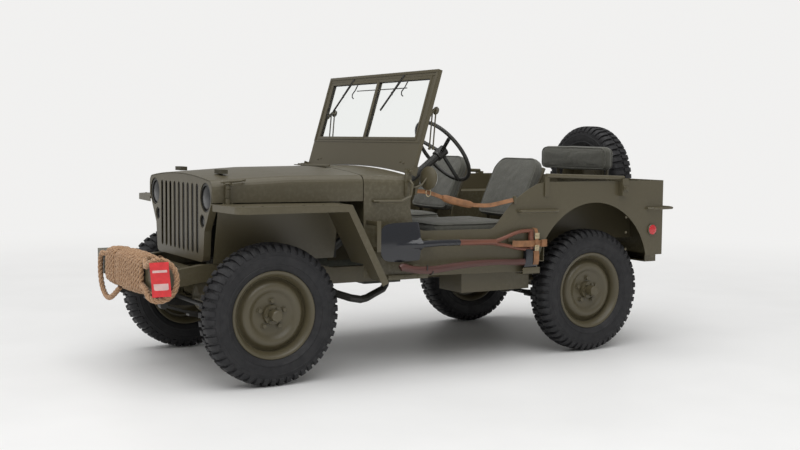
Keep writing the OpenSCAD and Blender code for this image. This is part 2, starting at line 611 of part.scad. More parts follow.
module bow_tubes() color(olive) mirror_x() {
    rest_x = body_x(1655) + 4;
    rod([tub_x + 16, row(2212), tub_z + 18], [rest_x, row(1650), tub_z + 36], 24);
    box([tub_x + fit, tub_x + 34], [2190, 2234], [920, tub_z + 14]);
    box([body_x(1670) + fit, body_x(1670) + 8], [1640, 1670], [925, tub_z + 30]);
}
function bail(a, b, reach) = let (v = b - a) [a, a + reach * 0.4, a + reach * 0.8 + v * 0.02,
    a + reach + v * 0.12, b + reach - v * 0.12, b + reach * 0.8 - v * 0.02, b + reach * 0.4, b];
module grab_handles() color(olive) mirror_x() {
    sweep(bail([body_x(1471) + 1, row(1471), 845], [body_x(1722) + 1, row(1722), 845], [34, 0, 0]), 16);
    sweep([[tub_x + 1, row(2416), 840], [tub_x + 12, row(2416), 840], [tub_x + 30, row(2440), 840],
        [tub_x + 30, row(2560), 840],
        [tub_x + 22, row(2600), 840], [tub_x - 20, row(2622), 840], [tub_x - 90, row(2620), 840],
        [tub_x - 120, row(2590), 840], [tub_x - 120, row(tub_end_s + 14), 840],
        [tub_x - 120, row(tub_end_s + 0.5), 840]], 16);
    sweep([[body_x(602) + 1.5, row(602), 914], [body_x(602) + 14, row(602), 914],
        [body_x(602) + 34, row(618), 914], [body_x(740) + 40, row(740), 914],
        [body_x(790) + 42, row(790), 940], [cowl_rear_x + 40, row(800), 1004],
        [cowl_rear_x + 24, row(796), 1020], [cowl_rear_x + 10, row(796), 1020]], 16);
}

// ---- wheels ----
rim_disc = 26;           // offset of the wheel disc from the rim's middle
rim_w = 118;
bead_r = rim_d / 2 - 14;
module tyre() rotate([0, 90, 0]) rotate_extrude($fn = 96) difference() {
    polygon(concat([[bead_r, -rim_w / 2 + 8], [rim_d / 2 + 1, -rim_w / 2 + 6]], tyre_side(tyre_d / 2, tyre_w / 2),
        [for (i = [1 : 7]) let (p = tyre_side(tyre_d / 2, tyre_w / 2)[7 - i]) [p[0], -p[1]]],
        [[rim_d / 2 + 1, rim_w / 2 - 6], [bead_r, rim_w / 2 - 8]]));
    polygon(concat([[bead_r - 1, -rim_w / 2 + 26]], tyre_side(tyre_d / 2 - 20, tyre_w / 2 - 12),
        [for (i = [1 : 7]) let (p = tyre_side(tyre_d / 2 - 20, tyre_w / 2 - 12)[7 - i]) [p[0], -p[1]]],
        [[bead_r - 1, rim_w / 2 - 26]]));
}
function tyre_side(r, w) = [[rim_d / 2 + 2, -w + 18], [mix(bead_r, r, 0.3), -w + 4], [mix(bead_r, r, 0.5), -w],
    [mix(bead_r, r, 0.72), -w + 3], [r - 14, -w + 12], [r - 4, -w + 24], [r, -w + 40]];
module rim_shell() rotate([0, 90, 0]) rotate_extrude($fn = 96) {
    polygon([[bead_r, -rim_w / 2 + 6], [rim_d / 2, -rim_w / 2 + 4], [rim_d / 2, -rim_w / 2],
        [bead_r - 6, -rim_w / 2], [bead_r - 16, -20], [bead_r - 16, rim_disc],
        [bead_r - 6, rim_w / 2], [rim_d / 2, rim_w / 2], [rim_d / 2, rim_w / 2 - 4], [bead_r, rim_w / 2 - 6]]);
    polygon([[30, rim_disc - 8], [100, rim_disc - 8], [130, rim_disc + 8], [150, rim_disc + 8],
        [bead_r - 16, rim_disc - 14], [bead_r - 12, rim_disc], [150, rim_disc + 14], [128, rim_disc + 14], [98, rim_disc - 2], [30, rim_disc - 2]]);
}
module wheel_place(s, side) translate([side * wheel_x, row(s), axle_z]) 
    if (side > 0) children(); else mirror([1, 0, 0]) children();
hub_out = 112;
module hub(out) rotate([0, 90, 0]) {
    difference() {
        union() {
            translate([0, 0, rear_hub_x - wheel_x]) cylinder(h = rim_disc - 8 - rear_hub_x + wheel_x, d = drum_d);
            cylinder(h = out, d = 76);
            cylinder(h = rim_disc + 6, d = 100);
        }
        translate([0, 0, rear_hub_x - wheel_x - 1]) cylinder(h = 38, d = drum_d - 20);
    }
}
module wheel(s, side, out) color(olive) wheel_place(s, side) {
    rim_shell();
    hub(out);
}
module spindle() {       // king pin housing, arm and stub axle of one knuckle
    difference() {
        union() {
            box([kingpin_x - 34, kingpin_x + 34], [-38, 38], [axle_z + knuckle_r + 0.8, axle_z + knuckle_r + 22]);
            box([kingpin_x - 34, kingpin_x + 34], [-38, 38], [axle_z - knuckle_r - 22, axle_z - knuckle_r - 0.8]);
            box([kingpin_x + 20, kingpin_x + 50], [-38, 38], [axle_z - knuckle_r - 22, axle_z + knuckle_r + 22]);
        }
        translate([kingpin_x, row(0), axle_z - knuckle_r - 0.8]) cylinder(h = 2 * knuckle_r + 1.6,
            r = knuckle_r + 2);
    }
    translate([kingpin_x + 46, row(0), axle_z]) rotate([0, 90, 0]) cylinder(h = 8, d = drum_d - 26);
    translate([kingpin_x + 46, row(0), axle_z]) rotate([0, 90, 0]) cylinder(h = stub_end - kingpin_x - 46, d = 40);
    box([kingpin_x - 16, kingpin_x + 16], [-steer_arm, -36], [arm_z - 8, arm_z + 8]);
    box([kingpin_x - 16, kingpin_x + 16], [-60, -36], [axle_z - knuckle_r - 22, arm_z + 8]);
    translate([kingpin_x, row(-steer_arm), arm_z - 8]) cylinder(h = 16, r = 16);
}
arm_z = axle_z - 40;
module knuckle_left() color(olive) spindle();
module knuckle_right() color(olive) mirror([1, 0, 0]) spindle();
module tie_rod() color(dark) {
    z = arm_z + 8 + fit;
    mirror_x() translate([kingpin_x, row(-steer_arm), z]) cylinder(h = 34, d = 30);
    translate([0, row(-steer_arm), z + 17]) rotate([0, 90, 0])
        cylinder(h = 2 * kingpin_x, d = tie_d, center = true);
}
module wheel_tyre(s, side) color(rubber) wheel_place(s, side) tyre();
spare_s = end_s - tyre_w / 2;
module spare_place() translate([spare_x, row(spare_s), spare_z]) rotate([0, 0, 90]) children();
module spare_rim() color(olive) spare_place() rim_shell();
module spare_tyre() color(rubber) spare_place() tyre();

// ---- windshield: made upright on its hinge line, then leaned back ----
module on_hinge() translate([0, row(wind_hinge_s), wind_hinge_z]) rotate([-wind_lean, 0, 0]) children();
wind_back = 24;          // distance of the frame's front face behind the hinge line
wind_rail = 28;
glass_low = 196;
glass_high = 530;
glass_half = 574;
module pane_view() for (m = [-1, 1])
    translate([m > 0 ? 11 : -glass_half, glass_low]) square([glass_half - 11, glass_high - glass_low]);
module windshield_frame() color(olive) {
    on_hinge() {
        difference() {
            translate([-wind_x, wind_back, 0]) cube([2 * wind_x, wind_t, wind_len]);
            translate([0, wind_back + wind_t + 1, 0]) rotate([90, 0, 0]) linear_extrude(wind_t + 2) {
                pane_view();
                polygon(arch_full(cowl_rear_x + clear / 2, -50, 30, 60));
            }
        }
        mirror_x() difference() {
            union() {
                translate([cowl_rear_x + 9 + fit, 0, 0]) rotate([0, 90, 0]) cylinder(h = 8, r = 14);
                translate([cowl_rear_x + 9 + fit, 0, -14]) cube([8, wind_back + wind_t, 44]);
                translate([wind_x - 20, wind_back, 20]) cube([cowl_rear_x + 18 - wind_x + 20, wind_t, 10]);
            }
        }
    }
}
module windshield_glass() color([0.7, 0.75, 0.75, 0.4]) on_hinge()
    for (m = [-1, 1]) translate([m > 0 ? 11 : -glass_half, wind_back + 8, glass_low])
        cube([glass_half - 11, pane_t, glass_high - glass_low]);

// ---- tools and rope ----
tool_x = body_x(1560) + 20;
module tool_brackets() color(olive) for (p = [[880, 690], [1400, 690], [780, 564], [1460, 556]])
    box([body_x(p[0] + 40) + fit, tool_x - 17 - fit], [p[0], p[0] + 40], [p[1] - 14, p[1] + 14]);
module shovel() {
    color([0.12, 0.13, 0.17]) {
        plan_x = tool_x - 6;
        side_slab(plan_x, plan_x + 5) polygon([[590, 700], [600, 640], [640, 604], [700, 597], [840, 600],
            [840, 797], [700, 800], [640, 794], [600, 758]]);
        rod([tool_x, row(800), 695], [tool_x, row(1076), 690], 34);
    }
    color([0.45, 0.28, 0.18]) {
        rod([tool_x, row(1076), 690], [tool_x, row(1400), 686], 32);
        side_slab(tool_x - 14, tool_x + 14) difference() {
            polygon([[1395, 668], [1395, 704], [1530, 735], [1569, 735], [1569, 624], [1530, 624]]);
            polygon([[1450, 676], [1450, 696], [1540, 716], [1540, 644]]);
        }
    }
}
module axe() {
    color([0.50, 0.30, 0.20]) sweep([for (s = [702 : 100 : 1502]) [tool_x, row(s),
        563 - 10 * (s - 702) / 800 + 7 * sin((s - 702) * 0.45)]], 34);
    color([0.5, 0.3, 0.2]) side_slab(tool_x - 14, tool_x + 14) polygon([[1503, 560], [1503, 610], [1540, 619],
        [1545, 560], [1552, 497], [1496, 495]]);
}
rope_x = [-290, 320];
module rope_winding() color([0.66, 0.56, 0.38]) difference() {
    box(rope_x, [-front_overhang - rope_d - fit, -front_overhang + bumper_t + rope_d + fit],
        [bumper_z - bumper_h / 2 - rope_d - fit, bumper_z + bumper_h / 2 + rope_d + fit]);
    box([rope_x[0] - 1, rope_x[1] + 1], [-front_overhang - fit, -front_overhang + bumper_t + fit],
        [bumper_z - bumper_h / 2 - fit, bumper_z + bumper_h / 2 + fit]);
}
rope_line = -front_overhang - rope_d / 2 - 2;
// A slack loop that hangs from the winding's right end and is tucked under it.
droop_route = [[rope_x[0] - 1, 0, 590], [-330, 0, 604], [-372, 0, 604], [-402, 0, 578], [-414, 0, 530],
    [-408, 0, 474], [-384, 0, 424], [-340, 0, 388], [-284, 0, 370], [-228, 0, 374], [-180, 4, 394],
    [-146, 12, 418], [-130, 24, 439]];
// A loop round the bumper's left end.
short_route = [[rope_x[1] + 1, 0, 590], [400, -4, 606], [466, -10, 628], [512, 8, 646], [540, 46, 642],
    [554, 84, 604], [556, 98, 550], [554, 86, 494], [538, 50, 456], [506, 8, 446], [466, -14, 462],
    [410, -8, 490], [rope_x[1] + 1, 0, 506]];
module rope_loops() color([0.66, 0.56, 0.38]) for (route = [droop_route, short_route])
    sweep([for (p = route) [p[0], row(rope_line + p[1]), p[2]]], rope_d);

frame_rails();
front_bumper();
rear_hitch();
front_axle();
rear_axle();
springs();
steering_linkage();
engine_block();
gearbox();
propeller_shafts();
exhaust();
radiator();
grille();
headlights();
marker_lights();
fenders();
cowl();
floor_pan();
side_panels();
rear_panel();
wheelhouses();
dashboard();
fuel_tank();
steering_column();
floor_controls();
seat_frames();
front_cushions();
front_backs();
rear_cushion();
rear_back();
bow_tubes();
grab_handles();
spare_rim();
spare_tyre();
shovel();
axe();
rope_winding();
rope_loops();
hinge_brackets();
tool_brackets();
rear_seat_frame();
hood();
hood_hinge();
hood_blocks();
windshield_frame();
windshield_glass();
steering_wheel();
knuckle_left();
knuckle_right();
tie_rod();
wheel(0, 1, hub_out);  // rim_front_left
wheel(0, -1, hub_out);  // rim_front_right
wheel(ra_s, 1, hub_out - 34);  // rim_rear_left
wheel(ra_s, -1, hub_out - 34);  // rim_rear_right
wheel_tyre(0, 1);  // tyre_front_left
wheel_tyre(0, -1);  // tyre_front_right
wheel_tyre(ra_s, 1);  // tyre_rear_left
wheel_tyre(ra_s, -1);  // tyre_rear_right
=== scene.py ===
"""Open four-wheel-drive army utility car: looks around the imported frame. Metres, +Z up, the car faces -Y."""
import json
import math

import bmesh
import bpy
from mathutils import Matrix, Vector
from mathutils.noise import noise as noise_at


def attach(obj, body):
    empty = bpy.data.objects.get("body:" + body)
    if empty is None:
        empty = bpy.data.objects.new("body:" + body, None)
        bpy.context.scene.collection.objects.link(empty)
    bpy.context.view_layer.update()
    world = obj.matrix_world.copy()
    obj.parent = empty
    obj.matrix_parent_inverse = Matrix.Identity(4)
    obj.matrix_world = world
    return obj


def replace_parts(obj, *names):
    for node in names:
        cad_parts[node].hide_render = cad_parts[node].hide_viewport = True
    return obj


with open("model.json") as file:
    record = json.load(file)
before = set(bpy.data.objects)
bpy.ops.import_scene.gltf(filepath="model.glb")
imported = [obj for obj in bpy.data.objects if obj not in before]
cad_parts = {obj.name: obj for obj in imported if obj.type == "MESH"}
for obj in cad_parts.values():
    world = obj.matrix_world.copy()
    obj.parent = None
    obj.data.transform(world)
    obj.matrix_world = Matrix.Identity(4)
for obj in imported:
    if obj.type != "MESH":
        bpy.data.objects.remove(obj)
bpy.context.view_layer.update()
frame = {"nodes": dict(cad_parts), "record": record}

FRONT_AXLE_Y = -1.1235
TYRE_R = 0.36
TRACK_HALF = 0.6225
REAR_AXLE_S = 2.032
ROPE_D = 0.030


def at(x, s, z):
    """A point from its X, its distance behind the front axle and its height, in millimetres."""
    return Vector((x / 1000, FRONT_AXLE_Y + s / 1000, z / 1000))


# ---- materials ----
def rgb(c, k=1.0):
    return (c[0] * k, c[1] * k, c[2] * k, 1.0)


def grey(v):
    return (v, v, v, 1.0)


class Look:
    """A material being made: its shader, and the noises and ramps that feed it."""

    def __init__(self, name):
        self.material = bpy.data.materials.new(name)
        self.material.use_nodes = True
        self.tree = self.material.node_tree
        self.shader = self.tree.nodes["Principled BSDF"]
        self.coords = self.node("TexCoord").outputs["Object"]

    def node(self, kind, **settings):
        made = self.tree.nodes.new("ShaderNode" + kind)
        for key, value in settings.items():
            setattr(made, key, value)
        return made

    def feed(self, source, socket):
        """Links a source to a socket, or to the shader's socket of that name."""
        self.tree.links.new(source, self.shader.inputs[socket] if isinstance(socket, str) else socket)

    def fix(self, name, value):
        self.shader.inputs[name].default_value = value

    def noise(self, scale, detail=4.0, rough=0.55, coords=None):
        n = self.node("TexNoise")
        n.inputs["Scale"].default_value = scale
        n.inputs["Detail"].default_value = detail
        n.inputs["Roughness"].default_value = rough
        self.feed(coords or self.coords, n.inputs["Vector"])
        return n.outputs["Fac"]

    def ramp(self, source, stops):
        r = self.node("ValToRGB")
        ends = r.color_ramp.elements
        ends[0].position, ends[0].color = stops[0]
        ends[1].position, ends[1].color = stops[-1]
        for p, c in stops[1:-1]:
            ends.new(p).color = c
        self.feed(source, r.inputs["Fac"])
        return r.outputs["Color"]

    def shades(self, source, colour, stops):
        """Colours from shades of one colour."""
        return self.ramp(source, [(p, rgb(colour, k)) for p, k in stops])

    def math(self, operation, a, b):
        n = self.node("Math", operation=operation)
        self.feed(a, n.inputs[0])
        self.feed(b, n.inputs[1])
        return n.outputs[0]

    def mix(self, a, b, factor, blend="MIX"):
        """Blends colour b into a. Each of the three is a socket or a constant."""
        n = self.node("Mix", data_type="RGBA", blend_type=blend)
        for name, value in (("Factor", factor), ("A", a), ("B", b)):
            if isinstance(value, (float, tuple)):
                n.inputs[name].default_value = value
            else:
                self.feed(value, n.inputs[name])
        return n.outputs["Result"]

    def bump(self, height, strength, distance):
        b = self.node("Bump")
        b.inputs["Strength"].default_value = strength
        b.inputs["Distance"].default_value = distance
        self.feed(height, b.inputs["Height"])
        self.feed(b.outputs["Normal"], "Normal")


def painted(name, colour, rough=0.42, spread=0.10, coat=0.0, worn=None, grain=0.25):
    """Sprayed enamel: faint blotches, a fine orange-peel skin and wear on edges."""
    look = Look(name)
    tint = look.shades(look.noise(3.0, 6.0), colour, [(0.3, 1 - spread), (0.55, 1), (0.75, 1 + spread)])
    edge = look.ramp(look.node("NewGeometry").outputs["Pointiness"], [(0.57, grey(0)), (0.68, grey(1))])
    speck = look.ramp(look.noise(55.0, 3.0), [(0.45, grey(0)), (0.7, grey(1))])
    bare = rgb(worn or colour, 1.0 if worn else 1.5)
    look.feed(look.mix(tint, bare, look.math("MULTIPLY", edge, speck)), "Base Color")
    shine = [(0.25, grey(rough - 0.015)), (0.8, grey(rough + 0.025))]
    look.feed(look.ramp(look.noise(9.0, 5.0), shine), "Roughness")
    look.bump(look.noise(420.0, 2.0), grain, 0.0006)
    look.fix("Coat Weight", coat)
    look.fix("Coat Roughness", 0.25)
    return look.material


def rubber_material(name):
    look = Look(name)
    blacks = [(0.3, rgb((0.006, 0.006, 0.0075))), (0.7, rgb((0.015, 0.0145, 0.016)))]
    look.feed(look.ramp(look.noise(14.0, 6.0), blacks), "Base Color")
    look.feed(look.ramp(look.noise(30.0), [(0.3, grey(0.55)), (0.8, grey(0.82))]), "Roughness")
    look.bump(look.noise(260.0, 3.0), 0.35, 0.001)
    return look.material


def canvas_material(name, colour, thread=520.0):
    """Tight canvas: crossed rows of threads, uneven yarn and a soft sheen."""
    look = Look(name)
    tint = look.shades(look.noise(38.0, 5.0), colour, [(0.3, 0.86), (0.7, 1.13)])
    threads = []
    for direction in ("X", "Y", "Z"):
        w = look.node("TexWave", bands_direction=direction)
        w.inputs["Scale"].default_value = thread
        w.inputs["Distortion"].default_value = 1.2
        w.inputs["Detail"].default_value = 1.0
        look.feed(look.coords, w.inputs["Vector"])
        threads.append(w.outputs["Fac"])
    weave = look.math("ADD", look.math("ADD", threads[0], threads[1]), threads[2])
    shade = look.ramp(weave, [(0.2, grey(0.80)), (2.2, grey(1.0))])
    look.feed(look.mix(tint, shade, 0.6, "MULTIPLY"), "Base Color")
    look.fix("Roughness", 0.86)
    look.fix("Sheen Weight", 0.25)
    look.bump(weave, 0.25, 0.0006)
    return look.material


def wood_material(name, colour, rough=0.38):
    look = Look(name)
    stretch = look.node("Mapping")
    stretch.inputs["Scale"].default_value = (55.0, 2.2, 55.0)
    look.feed(look.coords, stretch.inputs["Vector"])
    fibre = look.noise(1.0, 6.0, 0.65, stretch.outputs["Vector"])
    look.feed(look.shades(fibre, colour, [(0.25, 0.55), (0.5, 1), (0.75, 1.35)]), "Base Color")
    look.fix("Roughness", rough)
    look.bump(fibre, 0.3, 0.0008)
    return look.material


def leather_material(name, colour):
    look = Look(name)
    pores = look.node("TexVoronoi")
    pores.inputs["Scale"].default_value = 420.0
    look.feed(look.coords, pores.inputs["Vector"])
    tones = [(0.3, 0.62), (0.55, 1), (0.75, 1.25)]
    look.feed(look.shades(look.noise(26.0, 5.0), colour, tones), "Base Color")
    look.fix("Roughness", 0.55)
    look.bump(pores.outputs["Distance"], 0.4, 0.0008)
    return look.material


def rope_material(name):
    """Brown fibre, with painted shade that darkens the hollows between strands and turns."""
    look = Look(name)
    fibre = look.noise(160.0, 6.0, 0.75)
    tint = look.ramp(fibre, [(0.25, rgb((0.10, 0.050, 0.022))), (0.5, rgb((0.37, 0.215, 0.115))),
                             (0.78, rgb((0.68, 0.49, 0.32)))])
    # ambient occlusion darkens the colour in the hollows between strands and turns: painted shade
    hollow = look.node("AmbientOcclusion", samples=8)
    hollow.inputs["Distance"].default_value = 0.014
    painted_hollow_shade = look.ramp(hollow.outputs["AO"], [(0.30, rgb((0.16, 0.13, 0.10))), (0.85, grey(1.0))])
    look.feed(look.mix(tint, painted_hollow_shade, 1.0, "MULTIPLY"), "Base Color")
    look.fix("Roughness", 0.92)
    look.fix("Sheen Weight", 0.2)
    look.bump(fibre, 0.9, 0.002)
    return look.material


def metal_material(name, colour, rough=0.3):
    look = Look(name)
    cloud = look.noise(70.0, 5.0)
    look.feed(look.shades(cloud, colour, [(0.35, 0.6), (0.6, 1)]), "Base Color")
    look.feed(look.ramp(cloud, [(0.3, grey(rough + 0.2)), (0.7, grey(rough))]), "Roughness")
    look.fix("Metallic", 1.0)
    look.bump(cloud, 0.15, 0.0005)
    return look.material


def glass_material(name, colour=(0.97, 0.99, 0.98), rough=0.02):
    look = Look(name)
    look.feed(look.ramp(look.noise(6.0), [(0.4, grey(rough)), (0.9, grey(rough + 0.08))]), "Roughness")
    look.fix("Base Color", rgb(colour))
    look.fix("Transmission Weight", 1.0)
    look.fix("IOR", 1.10)
    return look.material


def plain_material(name, colour, rough, coat=0.0, scale=40.0):
    look = Look(name)
    cloud = look.noise(scale)
    look.feed(look.shades(cloud, colour, [(0.3, 0.85), (0.7, 1.12)]), "Base Color")
    look.fix("Roughness", rough)
    look.fix("Coat Weight", coat)
    look.bump(cloud, 0.1, 0.0005)
    return look.material


OLIVE = (0.083, 0.070, 0.039)
MATERIALS = {
    "olive_paint": painted("olive_paint", OLIVE, 0.40, 0.02, 0.05, (0.125, 0.112, 0.072), grain=0.12),
    "dark_metal": painted("dark_metal", (0.022, 0.021, 0.018), 0.45, 0.15),
    "engine_paint": painted("engine_paint", (0.05, 0.055, 0.04), 0.5),
    "lamp_metal": metal_material("lamp_metal", (0.75, 0.76, 0.74), 0.18),
    "seat_canvas": canvas_material("seat_canvas", (0.082, 0.081, 0.066)),
    "tool_steel": painted("tool_steel", (0.0035, 0.0048, 0.0095), 0.17, 0.15, 0.5, grain=0.05),
    "tool_wood": wood_material("tool_wood", (0.150, 0.052, 0.030)),
    "rope_fibre": rope_material("rope_fibre"),
    "leather": leather_material("leather", (0.27, 0.125, 0.052)),
    "tyre_rubber": rubber_material("tyre_rubber"),
    "reflector_red": plain_material("reflector_red", (0.55, 0.012, 0.018), 0.18, 0.6, 200.0),
    "tag_red": plain_material("tag_red", (0.62, 0.03, 0.035), 0.6),
    "bright_metal": metal_material("bright_metal", (0.62, 0.52, 0.34), 0.35),
    "clear_glass": glass_material("clear_glass"),
    "painted_wood": painted("painted_wood", (0.050, 0.044, 0.026), 0.6, 0.12),
    "axe_wood": wood_material("axe_wood", (0.085, 0.033, 0.026)),
    "tag_band": plain_material("tag_band", (0.62, 0.42, 0.40), 0.6),
    # near-black lens colour: painted shade for the dark hollow of each lamp, not the glass's own colour
    "dark_shaded_lens": plain_material("dark_shaded_lens", (0.008, 0.009, 0.009), 0.30, 0.10, 60.0),
}


# ---- pieces ----
def piece(name, verts, faces, material, body, smooth=True, sharp=35.0):
    """A mesh object with a material, on a body."""
    mesh = bpy.data.meshes.new(name)
    mesh.from_pydata([tuple(v) for v in verts], [], faces)
    mesh.validate()
    return dress(bpy.data.objects.new(name, mesh), material, body, smooth, sharp)


def dress(obj, material, body, smooth=True, sharp=35.0):
    if obj.name not in bpy.context.scene.collection.objects:
        bpy.context.scene.collection.objects.link(obj)
    obj.data.materials.clear()
    obj.data.materials.append(MATERIALS[material])
    if smooth:
        obj.data.shade_smooth()
        mark_sharp(obj.data, sharp)
    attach(obj, body)
    return obj


def mark_sharp(mesh, angle):
    bm = bmesh.new()
    bm.from_mesh(mesh)
    bmesh.ops.recalc_face_normals(bm, faces=bm.faces)
    for e in bm.edges:
        e.smooth = len(e.link_faces) == 2 and e.calc_face_angle(0.0) < math.radians(angle)
    bm.to_mesh(mesh)
    bm.free()


def ring_faces(rings, n, closed=False):
    """Faces of a skin over rings of n points, with its two ends filled unless it closes on itself."""
    faces = [(j * n + k, j * n + (k + 1) % n, (j + 1) % rings * n + (k + 1) % n, (j + 1) % rings * n + k)
             for j in range(rings if closed else rings - 1) for k in range(n)]
    if not closed:
        faces += [tuple(reversed(range(n))), tuple(range((rings - 1) * n, rings * n))]
    return faces


class Build:
    """Collects simple solids into one mesh."""

    def __init__(self):
        self.verts = []
        self.faces = []

    def add(self, verts, faces, place=None):
        n = len(self.verts)
        self.verts += [place @ Vector(v) if place else Vector(v) for v in verts]
        self.faces += [tuple(n + i for i in f) for f in faces]

    def box(self, low, high, bevel=0.0, place=None):
        bm = bmesh.new()
        bmesh.ops.create_cube(bm, size=1.0)
        for v in bm.verts:
            v.co = Vector([low[k] + (v.co[k] + 0.5) * (high[k] - low[k]) for k in range(3)])
        if bevel:
            bmesh.ops.bevel(bm, geom=bm.edges[:], offset=bevel, segments=2, affect="EDGES", profile=0.5)
        self.bm(bm, place)

    def bm(self, bm, place=None):
        bm.verts.index_update()
        self.add([v.co.copy() for v in bm.verts], [[v.index for v in f.verts] for f in bm.faces], place)
        bm.free()

    def lathe(self, profile, place, n=48, closed=False):
        """Turns (radius, height) points round the local Z axis."""
        turn = [2 * math.pi * k / n for k in range(n)]
        verts = [(r * math.cos(a), r * math.sin(a), h) for r, h in profile for a in turn]
        self.add(verts, ring_faces(len(profile), n, closed), place)

    def tube(self, points, radius, n=10, closed=False):
        """A round tube along points; radius may be a number or one per point."""
        pts = [Vector(p) for p in points]
        m = len(pts)
        dirs = []
        for i in range(m):
            a = pts[(i - 1) % m] if closed else pts[max(i - 1, 0)]
            b = pts[(i + 1) % m] if closed else pts[min(i + 1, m - 1)]
            dirs.append((b - a).normalized())
        up = Vector((0, 0, 1)) if abs(dirs[0].z) < 0.9 else Vector((1, 0, 0))
        verts = []
        for i in range(m):
            up = (up - up.dot(dirs[i]) * dirs[i]).normalized()
            side = dirs[i].cross(up)
            r = radius[i] if isinstance(radius, (list, tuple)) else radius
            for k in range(n):
                a = 2 * math.pi * k / n
                verts.append(pts[i] + r * (math.cos(a) * up + math.sin(a) * side))
        self.add(verts, ring_faces(m, n, closed))

    def band(self, points, width, thick, out):
        """A flat strap along points. out is the way its face looks, and width may be one number a point."""
        pts = [Vector(p) for p in points]
        m = len(pts)
        shape = ((-0.5, 0.2), (-0.47, 0.5), (0.47, 0.5), (0.5, 0.2), (0.5, -0.2), (0.47, -0.5), (-0.47, -0.5),
                 (-0.5, -0.2))
        verts = []
        for i, p in enumerate(pts):
            t = (pts[min(i + 1, m - 1)] - pts[max(i - 1, 0)]).normalized()
            n = Vector(out)
            n = (n - n.dot(t) * t).normalized()
            w = t.cross(n)
            wide = width[i] if isinstance(width, (list, tuple)) else width
            verts += [p + w * wide * a + n * thick * b for a, b in shape]
        self.add(verts, ring_faces(m, len(shape)))

    def sheet(self, verts, cols, back, place=None):
        """A thin sheet over a grid of points, cols to a row. back leads to its other face."""
        rows, low = len(verts) // cols, len(verts)
        faces = [(cols * i + j, cols * i + j + 1, cols * (i + 1) + j + 1, cols * (i + 1) + j)
                 for i in range(rows - 1) for j in range(cols - 1)]
        faces += [tuple(low + q for q in reversed(f)) for f in faces]
        rim = list(range(cols)) + [cols * i + cols - 1 for i in range(1, rows)]
        rim += [low - 2 - j for j in range(cols - 1)] + [cols * i for i in range(rows - 2, 0, -1)]
        faces += [(a, b, b + low, a + low) for a, b in zip(rim, rim[1:] + rim[:1])]
        self.add(list(verts) + [Vector(v) + Vector(back) for v in verts], faces, place)

    def bolt(self, point, direction, r=0.008, h=0.006, round_head=False):
        """A bolt head on a washer, standing on point along direction."""
        place = aim(point, direction)
        self.lathe([(r * 1.35, 0.0), (r * 1.35, h * 0.25)], place, 16)
        if round_head:
            self.lathe([(r, h * 0.25), (r * 0.92, h * 0.7), (r * 0.6, h), (r * 0.15, h * 1.12)], place, 14)
        else:
            self.lathe([(r, h * 0.25), (r, h * 0.9), (r * 0.85, h)], place, 6)

    def bolt_circle(self, place, n, reach, height, r, h, start=0.0):
        """n bolts in a circle round the local Z axis of place."""
        for k in range(n):
            a = 2 * math.pi * k / n + start
            self.bolt(place @ Vector((reach * math.cos(a), reach * math.sin(a), height)),
                      place.to_3x3() @ Vector((0, 0, 1)), r, h)

    def done(self, name, material, body, smooth=True, sharp=35.0):
        return piece(name, self.verts, self.faces, material, body, smooth, sharp)


def aim(point, direction):
    """The placement whose local Z points along direction."""
    return Matrix.Translation(Vector(point)) @ Vector(direction).to_track_quat("Z", "Y").to_matrix().to_4x4()


def smooth_path(points, step):
    """A Catmull-Rom curve through points, at about one step apart."""
    pts = [Vector(p) for p in points]
    out = []
    for i in range(len(pts) - 1):
        a = pts[max(i - 1, 0)]
        b, c = pts[i], pts[i + 1]
        d = pts[min(i + 2, len(pts) - 1)]
        n = max(2, int((c - b).length / step))
        for k in range(n):
            t = k / n
            out.append(0.5 * ((2 * b) + (c - a) * t + (2 * a - 5 * b + 4 * c - d) * t * t
                              + (3 * b - a - 3 * c + d) * t ** 3))
    out.append(pts[-1])
    return out


# ---- camera ----
def make_camera():
    yaw, pitch, roll = math.radians(31.5916), math.radians(-4.4625), math.radians(0.5548)
    d = Vector((-math.cos(pitch) * math.cos(yaw), math.cos(pitch) * math.sin(yaw), math.sin(pitch)))
    r = d.cross(Vector((0, 0, 1))).normalized()
    u = r.cross(d)
    r, u = r * math.cos(roll) + u * math.sin(roll), u * math.cos(roll) - r * math.sin(roll)
    data = bpy.data.cameras.new("camera")
    data.sensor_width = 36.0
    data.lens = 50.78
    data.shift_x = -0.0264
    data.shift_y = 0.0020
    cam = bpy.data.objects.new("camera", data)
    bpy.context.scene.collection.objects.link(cam)
    m = Matrix((r, u, -d)).transposed().to_4x4()
    m.translation = Vector((5.80898, -3.42466, 1.24607))
    cam.matrix_world = m
    bpy.context.scene.camera = cam


make_camera()


# ---- rope on the front bumper ----
ROPE_S = -557.0
WIND_X = (-290.0, 320.0)
# a slack loop tucked under the winding, and a loop round the bumper's left end
DROOP = [(-291, 0, 590), (-330, 0, 604), (-372, 0, 604), (-402, 0, 578), (-414, 0, 530), (-408, 0, 474),
         (-384, 0, 424), (-340, 0, 388), (-284, 0, 370), (-228, 0, 374), (-180, 4, 394), (-146, 12, 418),
         (-130, 24, 439)]
SHORT = [(321, 0, 590), (400, -4, 606), (466, -10, 628), (512, 8, 646), (540, 46, 642), (554, 84, 604),
         (556, 98, 550), (554, 86, 494), (538, 50, 456), (506, 8, 446), (466, -14, 462), (410, -8, 490),
         (321, 0, 506)]


